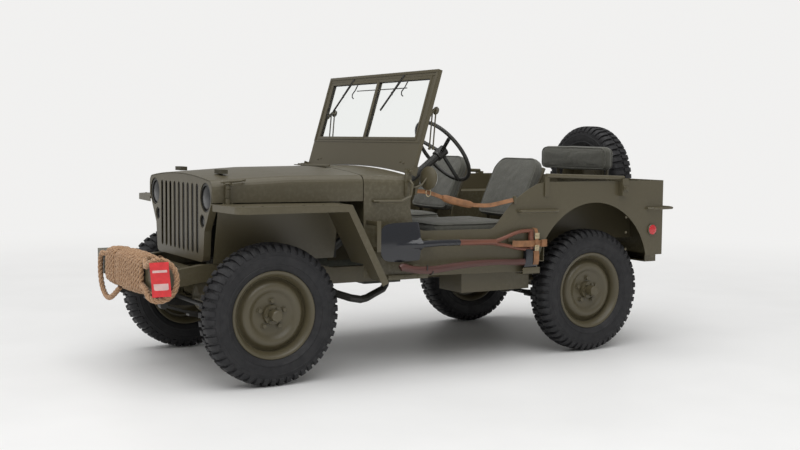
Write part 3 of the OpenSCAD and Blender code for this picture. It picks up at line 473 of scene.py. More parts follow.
def winding(turns=19):
    """Turns of rope round the bumper: over its top, down behind it and up its face."""
    half_s, half_z, corner = 45.0, 80.0, 28.0
    loop = []
    for cx, cz, a0 in ((1, 1, 90), (1, -1, 0), (-1, -1, -90), (-1, 1, -180)):
        for k in range(5):
            a = math.radians(a0 - 22.5 * k)
            loop.append((cx * (half_s - corner) + corner * math.cos(a),
                         cz * (half_z - corner) + corner * math.sin(a)))
    out = []
    total = turns * len(loop)
    for i in range(total + 1):
        x = WIND_X[0] + (WIND_X[1] - WIND_X[0]) * i / total
        s, z = loop[i % len(loop) - 1]
        ease = 1.5 * math.sin(i * 1.7) if 3 < i < total - 3 else 0.0
        swell = 13.0 * math.sin(math.pi * i / total) ** 0.5 * (1 - math.exp(-((x + 90) / 36) ** 2))
        grow = 1 + swell / math.hypot(s, z)
        out.append(Vector((x + ease, -510 + s * grow, 550 + z * grow)))
    return out


def rope_line():
    tail = [Vector((x, ROPE_S + s, z)) for x, s, z in reversed(DROOP)]
    head = [Vector((x, ROPE_S + s, z)) for x, s, z in SHORT]
    body = winding()
    line = tail[:-1] + body[1:-1] + head[1:]
    return smooth_path([at(p.x, p.y, p.z) for p in line], 0.0075)


def laid_rope(name, line, diameter, body, lay_length=0.078, n=8):
    """Three strands twisted round each other along a line."""
    strand_r, offset = diameter * 0.280, diameter * 0.232
    dirs = [(line[min(i + 1, len(line) - 1)] - line[max(i - 1, 0)]).normalized() for i in range(len(line))]
    up = Vector((0, 0, 1))
    ups, run = [], [0.0]
    for i, d in enumerate(dirs):
        up = (up - up.dot(d) * d).normalized()
        ups.append(up.copy())
        if i:
            run.append(run[-1] + (line[i] - line[i - 1]).length)
    made = Build()
    for strand in range(3):
        path = []
        for i, p in enumerate(line):
            a = 2 * math.pi * (run[i] / lay_length + strand / 3)
            path.append(p + offset * (math.cos(a) * ups[i] + math.sin(a) * dirs[i].cross(ups[i])))
        made.tube(path, strand_r, n)
    rope = made.done(name, "rope_fibre", body, sharp=180)
    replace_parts(rope, "rope_winding", "rope_loops")
    return rope


laid_rope("rope", rope_line(), ROPE_D, "body")


# ---- CAD nodes: finish and softened edges ----
ROUNDED = {"front_bumper": 0.003, "windshield_frame": 0.003, "rear_panel": 0.0015, "side_panels": 0.0015,
           "hood_blocks": 0.002, "seat_frames": 0.0, "fuel_tank": 0.008, "floor_controls": 0.001,
           "grille": 0.0012, "tool_brackets": 0.002, "engine_block": 0.006, "gearbox": 0.008,
           "wheelhouses": 0.0015, "frame_rails": 0.0015, "shovel": 0.001, "hinge_brackets": 0.002}
slots = {p["node"]: p["material_slot"] for p in frame["record"]["subparts"]}
for node, obj in frame["nodes"].items():
    slot_name = slots[node]
    obj.data.materials.clear()
    # headlight and marker light bodies take dark paint in place of bright lamp metal: painted shade for the
    # dark hollow of each lamp
    look = {"hood_blocks": "painted_wood", "headlights": "dark_metal", "marker_lights": "dark_metal"}
    obj.data.materials.append(MATERIALS[look.get(node, slot_name)])
    width = ROUNDED.get(node, 0.0008)
    if width:
        bevel = obj.modifiers.new("edge", "BEVEL")
        bevel.width = width
        bevel.segments = 2
        bevel.limit_method = "ANGLE"
        bevel.angle_limit = math.radians(34)
        bevel.harden_normals = False


# ---- wheels ----
def tyre_mesh(made, place):
    """A bar-tread tyre: a carcass with ribs on its sides and two rows of staggered bars."""
    half = [(0.209, 0.051), (0.2225, 0.0545), (0.226, 0.0605), (0.238, 0.0690), (0.248, 0.0735),
            (0.2515, 0.0765), (0.256, 0.0770), (0.259, 0.0745), (0.272, 0.0770), (0.286, 0.0785),
            (0.296, 0.0785), (0.2975, 0.0797), (0.3015, 0.0797), (0.303, 0.0780), (0.316, 0.0755),
            (0.330, 0.0700), (0.340, 0.0610), (0.345, 0.0490), (0.3475, 0.0300), (0.348, 0.0)]
    # local Z is the axle
    profile = [(r, -h) for r, h in half] + [(r, h) for r, h in reversed(half[:-1])]
    made.lathe(profile, place, 120, closed=True)
    rows = 50
    top = [(0.3600, 0.004), (0.3600, 0.028), (0.3590, 0.044), (0.3560, 0.056), (0.3480, 0.0665),
           (0.3360, 0.0745), (0.3240, 0.0785)]
    base = [(0.3440, 0.004), (0.3440, 0.028), (0.3425, 0.044), (0.3390, 0.054), (0.3330, 0.0615),
            (0.3220, 0.0690), (0.3140, 0.0730)]
    width = [0.0105, 0.0118, 0.0128, 0.0132, 0.0128, 0.0120, 0.0105]
    for side in (-1, 1):
        for k in range(rows):
            a = 2 * math.pi * (k + (0.25 if side > 0 else 0.75)) / rows
            verts = []
            for j, ((rt, ht), (rb, hb)) in enumerate(zip(top, base)):
                lean = side * 0.004 * (1 - j / 3) if j < 3 else 0.0
                for r, h, w in ((rb, hb, width[j] * 1.18), (rt, ht, width[j]), (rt, ht, -width[j]),
                                (rb, hb, -width[j] * 1.18)):
                    t = a + (w + lean) / r
                    verts.append((r * math.cos(t), r * math.sin(t), side * h))
            made.add(verts, ring_faces(len(top), 4), place)


def rim_mesh(made, place, hub, spare=False):
    well = [(0.2065, 0.050), (0.2200, 0.0530), (0.2232, 0.0560), (0.2236, 0.0592), (0.2205, 0.0618),
            (0.2150, 0.0615), (0.2090, 0.0585), (0.2040, 0.0530), (0.1985, 0.0450), (0.1890, 0.0290),
            (0.1875, 0.020)]
    back = [(0.1875, -0.020), (0.1985, -0.0480), (0.2050, -0.0560), (0.2150, -0.0610), (0.2215, -0.0600),
            (0.2215, -0.0550), (0.2065, -0.0500), (0.1930, -0.0200), (0.1930, 0.0240)]
    made.lathe(well + back, place, 96, closed=True)
    disc = [(0.1895, 0.0080), (0.1830, 0.0090), (0.1760, 0.0130), (0.1690, 0.0220), (0.1620, 0.0320),
            (0.1530, 0.0390), (0.1430, 0.0415), (0.1330, 0.0410), (0.1240, 0.0375), (0.1150, 0.0300),
            (0.1070, 0.0250), (0.0980, 0.0235), (0.0300, 0.0235), (0.0300, 0.0180), (0.0980, 0.0180),
            (0.1090, 0.0200), (0.1200, 0.0290), (0.1310, 0.0350), (0.1430, 0.0360), (0.1520, 0.0330),
            (0.1600, 0.0260), (0.1680, 0.0130), (0.1760, 0.0050), (0.1895, 0.0030)]
    made.lathe(disc, place, 96, closed=True)
    if spare:
        return
    made.bolt_circle(place, 5, 0.070, 0.0235, 0.0125, 0.015, 0.3)
    made.lathe([(0.0500, 0.0180), (0.0500, 0.0420), (0.0480, 0.0455), (0.0300, 0.0455)], place, 48)
    made.lathe([(0.0300, 0.0440), (0.0300, hub - 0.012), (0.0285, hub - 0.004), (0.0230, hub),
                (0.0100, hub + 0.001)], place, 40)
    made.bolt_circle(place, 6, 0.0395, 0.0455, 0.0062, 0.008)
    made.lathe([(0.1180, 0.0160), (0.1180, -0.0400), (0.1210, -0.0420), (0.1210, -0.0470), (0.1080, -0.0470),
                (0.1080, 0.0080)], place, 64, closed=True)


def wheel_at(name, centre, out, body, nodes, hub=0.095, spare=False):
    place = aim(centre, out)
    tyre = Build()
    tyre_mesh(tyre, place)
    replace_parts(tyre.done("tread_" + name, "tyre_rubber", body, sharp=28), nodes[0])
    rim = Build()
    rim_mesh(rim, place, hub, spare)
    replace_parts(rim.done("disc_" + name, "olive_paint", body, sharp=30), nodes[1])


for end, s, hub in (("front", 0.0, 0.100), ("rear", REAR_AXLE_S * 1000, 0.104)):
    for side, way in (("left", 1), ("right", -1)):
        wheel_at(f"{end}_{side}", at(way * TRACK_HALF * 1000, s, TYRE_R * 1000), (way, 0, 0),
                 f"wheel_{end}_{side}", (f"tyre_{end}_{side}", f"rim_{end}_{side}"), hub)
wheel_at("spare", at(-150, 2707, 980), (0, 1, 0), "body", ("spare_tyre", "spare_rim"), spare=True)


# ---- seats ----
def pad(name, node, place, half_w, half_l, thick, body, radii, crown=0.012, dish=0.0, seed=0, pipe=0.0045):
    """A stuffed canvas pad with welted edges. radii: the plan's corner radii at its low and high Y ends."""
    edge = thick * 0.42
    corners = ((half_w, half_l, radii[1], 0), (-half_w, half_l, radii[1], 90),
               (-half_w, -half_l, radii[0], 180), (half_w, -half_l, radii[0], 270))
    outline = []
    for cx, cy, r, a0 in corners:
        for k in range(9):
            a = math.radians(a0 + 90 * k / 8)
            outline.append(Vector((cx - math.copysign(r, cx) + r * math.cos(a),
                                   cy - math.copysign(r, cy) + r * math.sin(a), 0)))
    dense = []
    for i, p in enumerate(outline):
        q = outline[(i + 1) % len(outline)]
        steps = max(1, int((q - p).length / 0.014))
        dense += [p.lerp(q, k / steps) for k in range(steps)]
    n = len(dense)

    def pucker(p, t, side):
        q = Vector((p.x * 9 + seed, p.y * 9, side * 3.0))
        from_edge = 1 - t
        v = 0.0035 * noise_at(q) + 0.0022 * noise_at(q * 3.1)
        v += 0.0016 * noise_at(Vector((p.x * 60, p.y * 60, seed))) * math.exp(-from_edge * 9)
        return v

    sides = [math.radians(-90 + 15 * j) for j in range(13)]
    verts = []

    def ring(scale, inset, height, crowned, side):
        for p in dense:
            shrink = Vector((p.x * (1 - inset / half_w), p.y * (1 - inset / half_l), 0)) * scale
            z = height * (thick / 2)
            if crowned:
                f = (1 - scale ** 2.2)
                z += side * crown * f - (dish * (1 - (shrink.x / half_w) ** 2) if side > 0 else 0)
                z += side * pucker(shrink, scale, side)
            else:
                z -= dish * (1 - (shrink.x / half_w) ** 2) * max(0, height)
                bulge = 0.004 * (1 - height * height)
                wave = 0.0022 * noise_at(Vector((p.x * 14, p.y * 14, seed + height)))
                shrink += shrink.normalized() * (bulge + wave)
            verts.append(shrink + Vector((0, 0, z)))

    inner = [0.94, 0.86, 0.78, 0.70, 0.62, 0.54, 0.45, 0.36, 0.27, 0.18, 0.09]
    for t in reversed(inner):
        ring(t, edge, -1.0, True, -1)
    for a in sides:
        ring(1.0, edge * (1 - math.cos(a)), math.sin(a), False, 0)
    for t in inner:
        ring(t, edge, 1.0, True, 1)
    made = Build()
    made.add(verts, ring_faces(len(verts) // n, n), place)
    obj = made.done(name, "seat_canvas", body, sharp=80)
    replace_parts(obj, node)
    welt = Build()
    for side in (-1, 1):
        line = []
        for i, p in enumerate(dense):
            k = Vector((p.x * (1 - edge * 0.30 / half_w), p.y * (1 - edge * 0.30 / half_l), 0))
            z = side * thick * 0.36 - (dish * (1 - (k.x / half_w) ** 2) * 0.7 if side > 0 else 0)
            wave = 0.0018 * noise_at(Vector((p.x * 25, p.y * 25, seed + side)))
            line.append(place @ (k + k.normalized() * 0.0045 + Vector((0, 0, z + wave))))
        welt.tube(line, pipe, 8, closed=True)
    welt.done(name + "_welt", "seat_canvas", body, sharp=180)


UPRIGHT = Matrix.Rotation(math.radians(90), 4, "X")
BACK_SLOPE = 0.453
for side, way in (("left", 1), ("right", -1)):
    flat = Matrix.Translation(at(way * 390, 1270, 738))
    pad("cushion_" + side, "front_cushions", flat, 0.209, 0.258, 0.092, "body", (0.045, 0.040), seed=way * 5)
    centre = at(way * 390, 1545 + BACK_SLOPE * 166 + 33, 966)
    tilted = Matrix.Translation(centre) @ Matrix.Rotation(-math.atan(BACK_SLOPE), 4, "X") @ UPRIGHT
    pad("back_" + side, "front_backs", tilted, 0.207, 0.180, 0.056, "body", (0.030, 0.085), 0.007, 0.010,
        way * 9)
pad("bench_pad", "rear_cushion", Matrix.Translation(at(0, 2240, 904)), 0.396, 0.197, 0.082, "body",
    (0.05, 0.04), seed=3)
pad("bench_back", "rear_back", Matrix.Translation(at(0, 2462, 1130)) @ UPRIGHT,
    0.328, 0.073, 0.078, "body", (0.030, 0.042), 0.006, seed=6)


# ---- windshield ----
HINGE = Matrix.Translation(at(0, 796, 1070)) @ Matrix.Rotation(math.radians(-16.5), 4, "X")
FORWARD = HINGE.to_3x3() @ Vector((0, -1, 0))
PANES = ((-0.574, -0.011), (0.011, 0.574))
PANE_LOW, PANE_HIGH = 0.196, 0.530


def on_frame(x, y, z):
    """A point measured from the windshield's hinge, along the leaning frame."""
    return HINGE @ Vector((x, y, z))


def pane_trim():
    made, seal = Build(), Build()
    ring = 0.016
    front, face = 0.0212, 0.0242
    for x0, x1 in PANES:
        made.box((x0 - ring, front, PANE_LOW - ring), (x1 + ring, face, PANE_LOW + 0.002), 0.002, HINGE)
        made.box((x0 - ring, front, PANE_HIGH - 0.002), (x1 + ring, face, PANE_HIGH + ring), 0.002, HINGE)
        for a, b in ((x0 - ring, x0 + 0.002), (x1 - 0.002, x1 + ring)):
            if abs(a) > 0.1:
                made.box((a, front, PANE_LOW), (b, face, PANE_HIGH), 0.002, HINGE)
        pts = [(x0, PANE_LOW), (x1, PANE_LOW), (x1, PANE_HIGH), (x0, PANE_HIGH)]
        for (xa, za), (xb, zb) in zip(pts, pts[1:] + pts[:1]):
            seal.box((min(xa, xb) - 0.004, 0.0285, min(za, zb) - 0.004),
                     (max(xa, xb) + 0.004, 0.0375, max(za, zb) + 0.004), 0.0015, HINGE)
    made.box((-0.013, front - 0.0008, 0.190), (0.013, face, 0.536), 0.003, HINGE)
    for y, z0, z1, bevel in ((0.0205, 0.564, 0.581, 0.002), (front, 0.546, 0.551, 0.0015),
                             (front, 0.166, 0.172, 0.0015)):
        made.box((-0.640, y, z0), (0.640, face, z1), bevel, HINGE)
    for a in (-1, 1):
        made.box((a * 0.630 - 0.010, 0.0205, 0.172), (a * 0.630 + 0.010, face, 0.564), 0.002, HINGE)
    for k in range(9):
        x = -0.56 + 0.14 * k
        made.bolt(on_frame(x, 0.034, 0.580), HINGE.to_3x3() @ Vector((0, 0, 1)), 0.007, 0.005, True)
    for x in (-0.52, -0.485, 0.485, 0.52):
        made.bolt(on_frame(x, 0.0240, 0.052 if abs(x) > 0.5 else 0.058), FORWARD, 0.006, 0.004, True)
    made.done("windshield_trim", "olive_paint", "windshield")
    seal.done("windshield_seal", "dark_metal", "windshield")


def wiper(made, x, z, swing, length):
    """A hand-turned wiper: a pivot through the top rail, a sprung arm and a blade."""
    boss = [(0.012, 0.0), (0.012, 0.003), (0.008, 0.0045), (0.004, 0.005)]
    made.lathe(boss, aim(on_frame(x, 0.0235, z), FORWARD), 16)
    c, s = math.cos(swing), math.sin(swing)

    def q(along, across, y):
        return on_frame(x + (c * across - s * along), y, z + (-c * along - s * across))

    for across in (-0.006, 0.006):
        made.tube([q(0.0, across, 0.0208), q(0.06, across, 0.0200), q(0.130, across, 0.0215)], 0.0020, 6)
    made.tube([q(0.128, -0.012, 0.0225), q(0.128, 0.012, 0.0225)], 0.0035, 8)
    start = 0.128 - length * 0.46
    for y, w in ((0.0225, 0.011), (0.0260, 0.006)):
        made.band([q(start, 0, y), q(start + length / 2, 0, y - 0.0006), q(start + length, 0, y)],
                  w, 0.0045, FORWARD)


def crank(made, x, z):
    """The wiper's hand lever behind the glass."""
    bends = ((0, 0.044, 0), (0, 0.062, 0), (-0.030, 0.066, -0.045), (-0.055, 0.066, -0.072),
             (-0.050, 0.068, -0.090), (-0.034, 0.070, -0.098))
    made.tube([on_frame(x + u, y, z + w) for u, y, w in bends], 0.0035, 8)


pane_trim()
wipers = Build()
for x in (-0.318, 0.278):
    wiper(wipers, x, 0.552, math.radians(41), 0.24)
    crank(wipers, x, 0.552)
wipers.tube([on_frame(-0.322, 0.066, 0.500), on_frame(0.274, 0.066, 0.500)], 0.003, 6)
wipers.done("wipers", "dark_metal", "windshield")

arms = Build()
for way in (-1, 1):
    # a pair of thin stays hangs from the clamp behind the frame
    for s0, s1 in ((968, 950), (990, 973)):
        arms.tube([at(way * 600, s0, 1401), at(way * 600, s1, 1195)], 0.0042, 8)
    for s1 in (950, 973):
        arms.lathe([(0.007, -0.005), (0.007, 0.005)], aim(at(way * 600, s1, 1192), (1, 0, 0)), 12)
    arms.box((way * 0.603 - 0.016, 0.044, 0.322), (way * 0.603 + 0.016, 0.062, 0.348), 0.003, HINGE)
    arms.tube([on_frame(way * 0.603, 0.058, 0.335), at(way * 600, 979, 1402)], 0.009, 12)
    knob = aim(at(way * 600, 972, 1403), HINGE.to_3x3() @ Vector((0, 1, 0)))
    arms.lathe([(0.006, 0.0), (0.006, 0.006), (0.019, 0.010), (0.023, 0.018), (0.019, 0.027), (0.010, 0.031)],
               knob, 20)
    # hinge pin heads outside the brackets
    pin = aim(at(way * 662, 796, 1070), (way, 0, 0))
    arms.lathe([(0.010, 0.0), (0.010, 0.007), (0.007, 0.010)], pin, 6)
arms.done("windshield_arms", "olive_paint", "windshield")


# ---- lamps and hood latches ----
def lamps():
    # the lenses, the rims and the bands set behind the rims are near black: painted shade for the dark hollow
    # of each lamp
    lens, rims, shade_bands = Build(), Build(), Build()
    for way in (-1, 1):
        for x, z, r in ((386, 934, 0.064), (343, 816, 0.029)):
            place = aim(at(way * x, -237, z), (0, -1, 0))
            k = r / 0.064
            lens.lathe([(r, -0.004), (r * 0.98, 0.0), (r * 0.90, 0.004 * k), (r * 0.72, 0.007 * k),
                        (r * 0.48, 0.0095 * k), (r * 0.22, 0.0105 * k), (0.001, 0.011 * k)], place, 48)
            rims.lathe([(r + 0.001, -0.008), (r + 0.001, 0.003), (r + 0.004, 0.006), (r + 0.009, 0.004),
                        (r + 0.011, -0.001), (r + 0.011, -0.008)], place, 48, closed=True)
            shade_bands.lathe([(r * 1.20, -0.0045), (r * 1.20, -0.0075)], place, 40)
            if r > 0.05:
                rims.bolt(place @ Vector((0, r + 0.006, 0.003)), (0, -1, 0), 0.004, 0.003, True)
                for n in range(7):
                    u = (n - 3) * 0.015
                    h = math.sqrt(r * r - u * u) * 0.86
                    lens.tube([place @ Vector((u, -h, 0.003)), place @ Vector((u, 0, 0.0100 - abs(u) * 0.08)),
                               place @ Vector((u, h, 0.003))], 0.0016, 5)
    lens.done("lamp_lenses", "dark_shaded_lens", "body", sharp=60)
    rims.done("lamp_rims", "dark_metal", "body")
    shade_bands.done("lamp_shade_bands", "dark_metal", "body")


def latches():
    made = Build()
    for way in (-1, 1):
        foot = at(way * 518, -180, 905)
        made.box(foot + Vector((-0.020, -0.034, 0)), foot + Vector((0.020, 0.034, 0.005)), 0.001)
        for y in (-0.022, 0.022):
            made.bolt(foot + Vector((0, y, 0.005)), (0, 0, 1), 0.006, 0.005)
        made.lathe([(0.013, 0.005), (0.013, 0.030), (0.009, 0.034), (0.009, 0.078), (0.012, 0.082),
                    (0.012, 0.100), (0.007, 0.104)], Matrix.Translation(foot), 20)
        coil = []
        for k in range(90):
            a = 2 * math.pi * k / 10
            coil.append(foot + Vector((0.0125 * math.cos(a), 0.0125 * math.sin(a), 0.034 + 0.044 * k / 89)))
        made.tube(coil, 0.0022, 6)
        top = foot + Vector((0, 0, 0.104))
        cap = [(0.020, 0.0), (0.022, 0.004), (0.020, 0.008), (0.006, 0.010)]
        made.lathe(cap, Matrix.Translation(top), 24)
        lever = ((-0.036, 0.010), (0.0, 0.013), (0.060, 0.016), (0.088, 0.020))
        made.tube([top + Vector((0, y, z)) for y, z in lever], [0.0055, 0.007, 0.006, 0.0045], 10)
        made.tube([top + Vector((-0.012, 0.088, 0.020)), top + Vector((0.012, 0.088, 0.020))], 0.006, 10)
    made.done("hood_latches", "olive_paint", "body")


lamps()
latches()


# ---- blank tag on the rope ----
def tag():
    made = Build()
    centre = at(560, -542, 556)
    place = aim(centre, (0.82, -0.56, 0.10)) @ Matrix.Rotation(math.radians(4), 4, "Z")
    verts = []
    for i in range(13):
        v = i / 12 - 0.5
        curl = 0.010 * math.sin(v * 3.3) + 0.006 * v * v
        for j in range(7):
            u = j / 6 - 0.5
            verts.append((u * 0.094, v * 0.168, curl + 0.004 * u * u))
    made.sheet(verts, 7, (0, 0, -0.0012), place)
    made.done("rope_tag", "tag_red", "body", sharp=60)
    pale = Build()
    for v0, v1 in ((0.034, 0.046), (-0.052, -0.020)):
        z = [0.010 * math.sin(v / 0.168 * 3.3) + 0.0010 for v in (v0, v1)]
        pale.add([(-0.036, v0, z[0]), (0.036, v0, z[0]), (0.036, v1, z[1]), (-0.036, v1, z[1]),
                  (-0.036, v0, z[0] - 0.0006), (0.036, v0, z[0] - 0.0006), (0.036, v1, z[1] - 0.0006),
                  (-0.036, v1, z[1] - 0.0006)],
                 [(0, 1, 2, 3), (7, 6, 5, 4), (0, 4, 5, 1), (1, 5, 6, 2), (2, 6, 7, 3), (3, 7, 4, 0)], place)
    pale.done("rope_tag_bands", "tag_band", "body", smooth=False)
    hole = place @ Vector((0, 0.080, 0.010))
    tie = Build()
    tie.tube(smooth_path([hole, hole + Vector((-0.012, 0.004, 0.014)), at(534, -520, 660), at(524, -534, 668),
                          at(520, -548, 650), hole + Vector((-0.006, -0.002, 0.004)), hole], 0.006),
             0.0013, 6)
    tie.done("rope_tag_string", "rope_fibre", "body")


tag()


# ---- shovel and axe on the left side ----
TOOL_X = 742.0


def shovel():
    steel, wood = Build(), Build()
    # stations from the blade's tip to its shoulders, with its upper and lower edges
    rows = [(575, 722, 676), (580, 752, 646), (590, 776, 624), (606, 790, 610), (630, 798, 603),
            (665, 802, 599), (690, 803, 598), (720, 804, 598), (750, 804, 599), (780, 805, 600),
            (802, 805, 601), (812, 803, 604), (815, 800, 607)]
    cols = 25
    verts = []
    for s, top, low in rows:
        for j in range(cols):
            z = low + (top - low) * j / (cols - 1)
            u = (z - 687) / 100
            x = TOOL_X - 4 - 20 * u * u - 5 * max(0, (640 - s) / 65) ** 2
            x += 5 * max(0, (s - 796) / 19)
            reach = max(0.0, 27 * (s - 670) / 144)
            x += math.sqrt(max(0.0, reach * reach - (z - 687) ** 2))
            verts.append(at(x, s, z))
    steel.sheet(verts, cols, (-0.0022, 0, 0))
    steel.tube([at(TOOL_X, 806, 687), at(TOOL_X, 850, 688), at(TOOL_X, 940, 690), at(TOOL_X, 1058, 688)],
               [0.0190, 0.0185, 0.0172, 0.0168], 24)
    for s in (985, 1032):
        steel.bolt(at(TOOL_X + 16, s, 689), (1, 0, 0), 0.005, 0.003, True)
    stay = Build()
    stay.box(at(TOOL_X - 14, 553, 655), at(TOOL_X - 8, 578, 818), 0.001)
    for z in (670, 803):
        stay.box(at(606, 560, z - 12), at(TOOL_X - 12, 566, z + 12), 0.001)
    stay.done("shovel_stay", "olive_paint", "body")
    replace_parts(steel.done("shovel_steel", "tool_steel", "body", sharp=40), "shovel")
    wood.tube([at(TOOL_X, s, z) for s, z in ((1056, 688), (1180, 684), (1300, 680))],
              [0.0160, 0.0160, 0.0165], 24)
    upper = [(1290, 684), (1320, 691), (1360, 702), (1411, 719), (1465, 732), (1510, 736), (1545, 735)]
    lower = [(1290, 674), (1320, 668), (1360, 661), (1413, 649), (1467, 638), (1510, 633), (1545, 632)]
    for leg in (upper, lower):
        wood.tube(smooth_path([at(TOOL_X, s, z) for s, z in leg], 0.012), 0.0105, 16)
    wood.tube([at(TOOL_X, 1542, 628), at(TOOL_X, 1542, 660), at(TOOL_X, 1542, 684), at(TOOL_X, 1542, 710),
               at(TOOL_X, 1542, 740)], [0.0150, 0.0165, 0.0175, 0.0165, 0.0150], 20)
    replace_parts(wood.done("shovel_handle", "tool_wood", "body", sharp=50), "shovel")


def axe():
    head, wood, holder, lash = Build(), Build(), Build(), Build()
    rings = [(632, 1503, 1568, 15), (622, 1500, 1571, 16), (596, 1502, 1569, 17), (572, 1499, 1572, 17),
             (548, 1495, 1576, 13), (524, 1489, 1582, 8), (504, 1484, 1587, 4), (498, 1484, 1587, 1)]
    verts = []
    for z, s0, s1, half in rings:
        outline = ((s0, -0.75), (s0 + 6, -1), (s1 - 6, -1), (s1, -0.75))
        verts += [at(TOOL_X + half * k, s, z) for s, k in outline]
        verts += [at(TOOL_X - half * k, s, z) for s, k in reversed(outline)]
    head.add(verts, ring_faces(len(rings), 8))
    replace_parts(head.done("axe_head", "tool_steel", "body", sharp=30), "axe")
    # stations along the handle, with its height and its radius
    line = [(690, 566, 18), (700, 570, 21), (718, 569, 21), (745, 561, 19), (800, 551, 19.5),
            (885, 547, 21), (960, 553, 20), (1056, 562, 19), (1180, 568, 17), (1315, 569, 15.5),
            (1420, 563, 17), (1505, 560, 19)]
    path = smooth_path([(TOOL_X, s, z) for s, z, r in line], 22.0)
    radii = []
    for p in path:
        k = max(i for i in range(len(line) - 1) if line[i][0] <= p.y + 0.01 or i == 0)
        t = min(1.0, max(0.0, (p.y - line[k][0]) / (line[k + 1][0] - line[k][0])))
        radii.append((line[k][2] + (line[k + 1][2] - line[k][2]) * t) / 1000)
    wood.tube([at(*p) for p in path], radii, 20)
    for v in wood.verts:
        v.x = (TOOL_X + (v.x * 1000 - TOOL_X) * 0.66) / 1000
    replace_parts(wood.done("axe_handle", "axe_wood", "body", sharp=60), "axe")
    loop = [at(TOOL_X + 15 * math.cos(2 * math.pi * k / 30), 846 + 40 * k / 29,
               548 + 25 * math.sin(2 * math.pi * k / 30)) for k in range(30)]
    lash.tube(loop, 0.0035, 8)
    for z in (520, 509):
        holder.box(at(TOOL_X + 4, 1478, z - 2), at(TOOL_X + 14, 1592, z + 2), 0.001)
    holder.done("axe_holder", "bright_metal", "body")
    lash.done("axe_lashing", "dark_metal", "body")
    shelf = Build()
    shelf.box(at(690, 1476, 492), at(TOOL_X + 18, 1594, 496), 0.001)
    shelf.box(at(TOOL_X + 15, 1476, 492), at(TOOL_X + 18, 1594, 530), 0.001)
    shelf.done("axe_shelf", "olive_paint", "body")


def straps():
    made, metal, keeps = Build(), Build(), Build()
    x = TOOL_X + 22
    for width, thick, way, route in (
            (0.035, 0.0045, (1, 0, 0), ((-14, 1408, 668), (-2, 1422, 667), (0, 1500, 665), (0, 1580, 664),
                                        (-6, 1630, 664), (-20, 1644, 664))),
            (0.041, 0.004, (1, 0, 0), ((4, 1596, 665), (4, 1614, 665), (4, 1635, 665))),
            (0.022, 0.004, (1, 0, 0.15), ((-30, 1563, 748), (-8, 1563, 746), (-1, 1563, 728), (5, 1563, 690),
                                          (5, 1564, 650), (-2, 1565, 616), (-6, 1565, 598))),
            (0.037, 0.005, (1, 0, 0), ((-6, 1567, 622), (-1, 1567, 600), (-1, 1567, 570), (-8, 1567, 545)))):
        made.band([at(x + out, s, z) for out, s, z in route], width, thick, way)
    for s, z in ((1563, 708), (1563, 640)):
        metal.band([at(x + 8, s, z - 16), at(x + 8, s, z + 16)], 0.030, 0.003, (1, 0, 0))
    made.done("tool_straps", "leather", "body")
    metal.done("tool_buckles", "bright_metal", "body")
    web, grip, rings = Build(), Build(), Build()
    for way in (-1, 1):
        pts = [(660, 837, 966), (660, 880, 962), (660, 920, 954), (660, 970, 938), (662, 1016, 923),
               (680, 1100, 900), (686, 1195, 884), (698, 1287, 882), (708, 1388, 900), (722, 1440, 912)]
        line = smooth_path([at(way * a, b, c) for a, b, c in pts], 0.016)
        web.band(line, 0.024, 0.0045, (way, 0, 0.5))
        roll = [p for p in line if 0.990 < p.y - FRONT_AXLE_Y < 1.195]
        grip.tube(roll, [0.014] + [0.020 + 0.002 * noise_at(p * 40) for p in roll[1:-1]] + [0.013], 16)
        keeps.box(at(way * 650 - 10, 826, 946), at(way * 650 + 12, 842, 986), 0.002)
        keeps.box(at(way * 722 - 8, 1430, 888), at(way * 722 + 8, 1446, 932), 0.002)
        turn = [a * 0.628 for a in range(10)]
        ring = [at(way * 664, 906 + 15 * math.sin(a), 957 + 22 * math.cos(a)) for a in turn]
        rings.tube(ring, 0.0028, 8, closed=True)
    web.done("door_straps", "leather", "body")
    grip.done("door_strap_rolls", "leather", "body")
    keeps.done("strap_keeps", "olive_paint", "body")
    rings.done("strap_rings", "bright_metal", "body")


shovel()
axe()
straps()


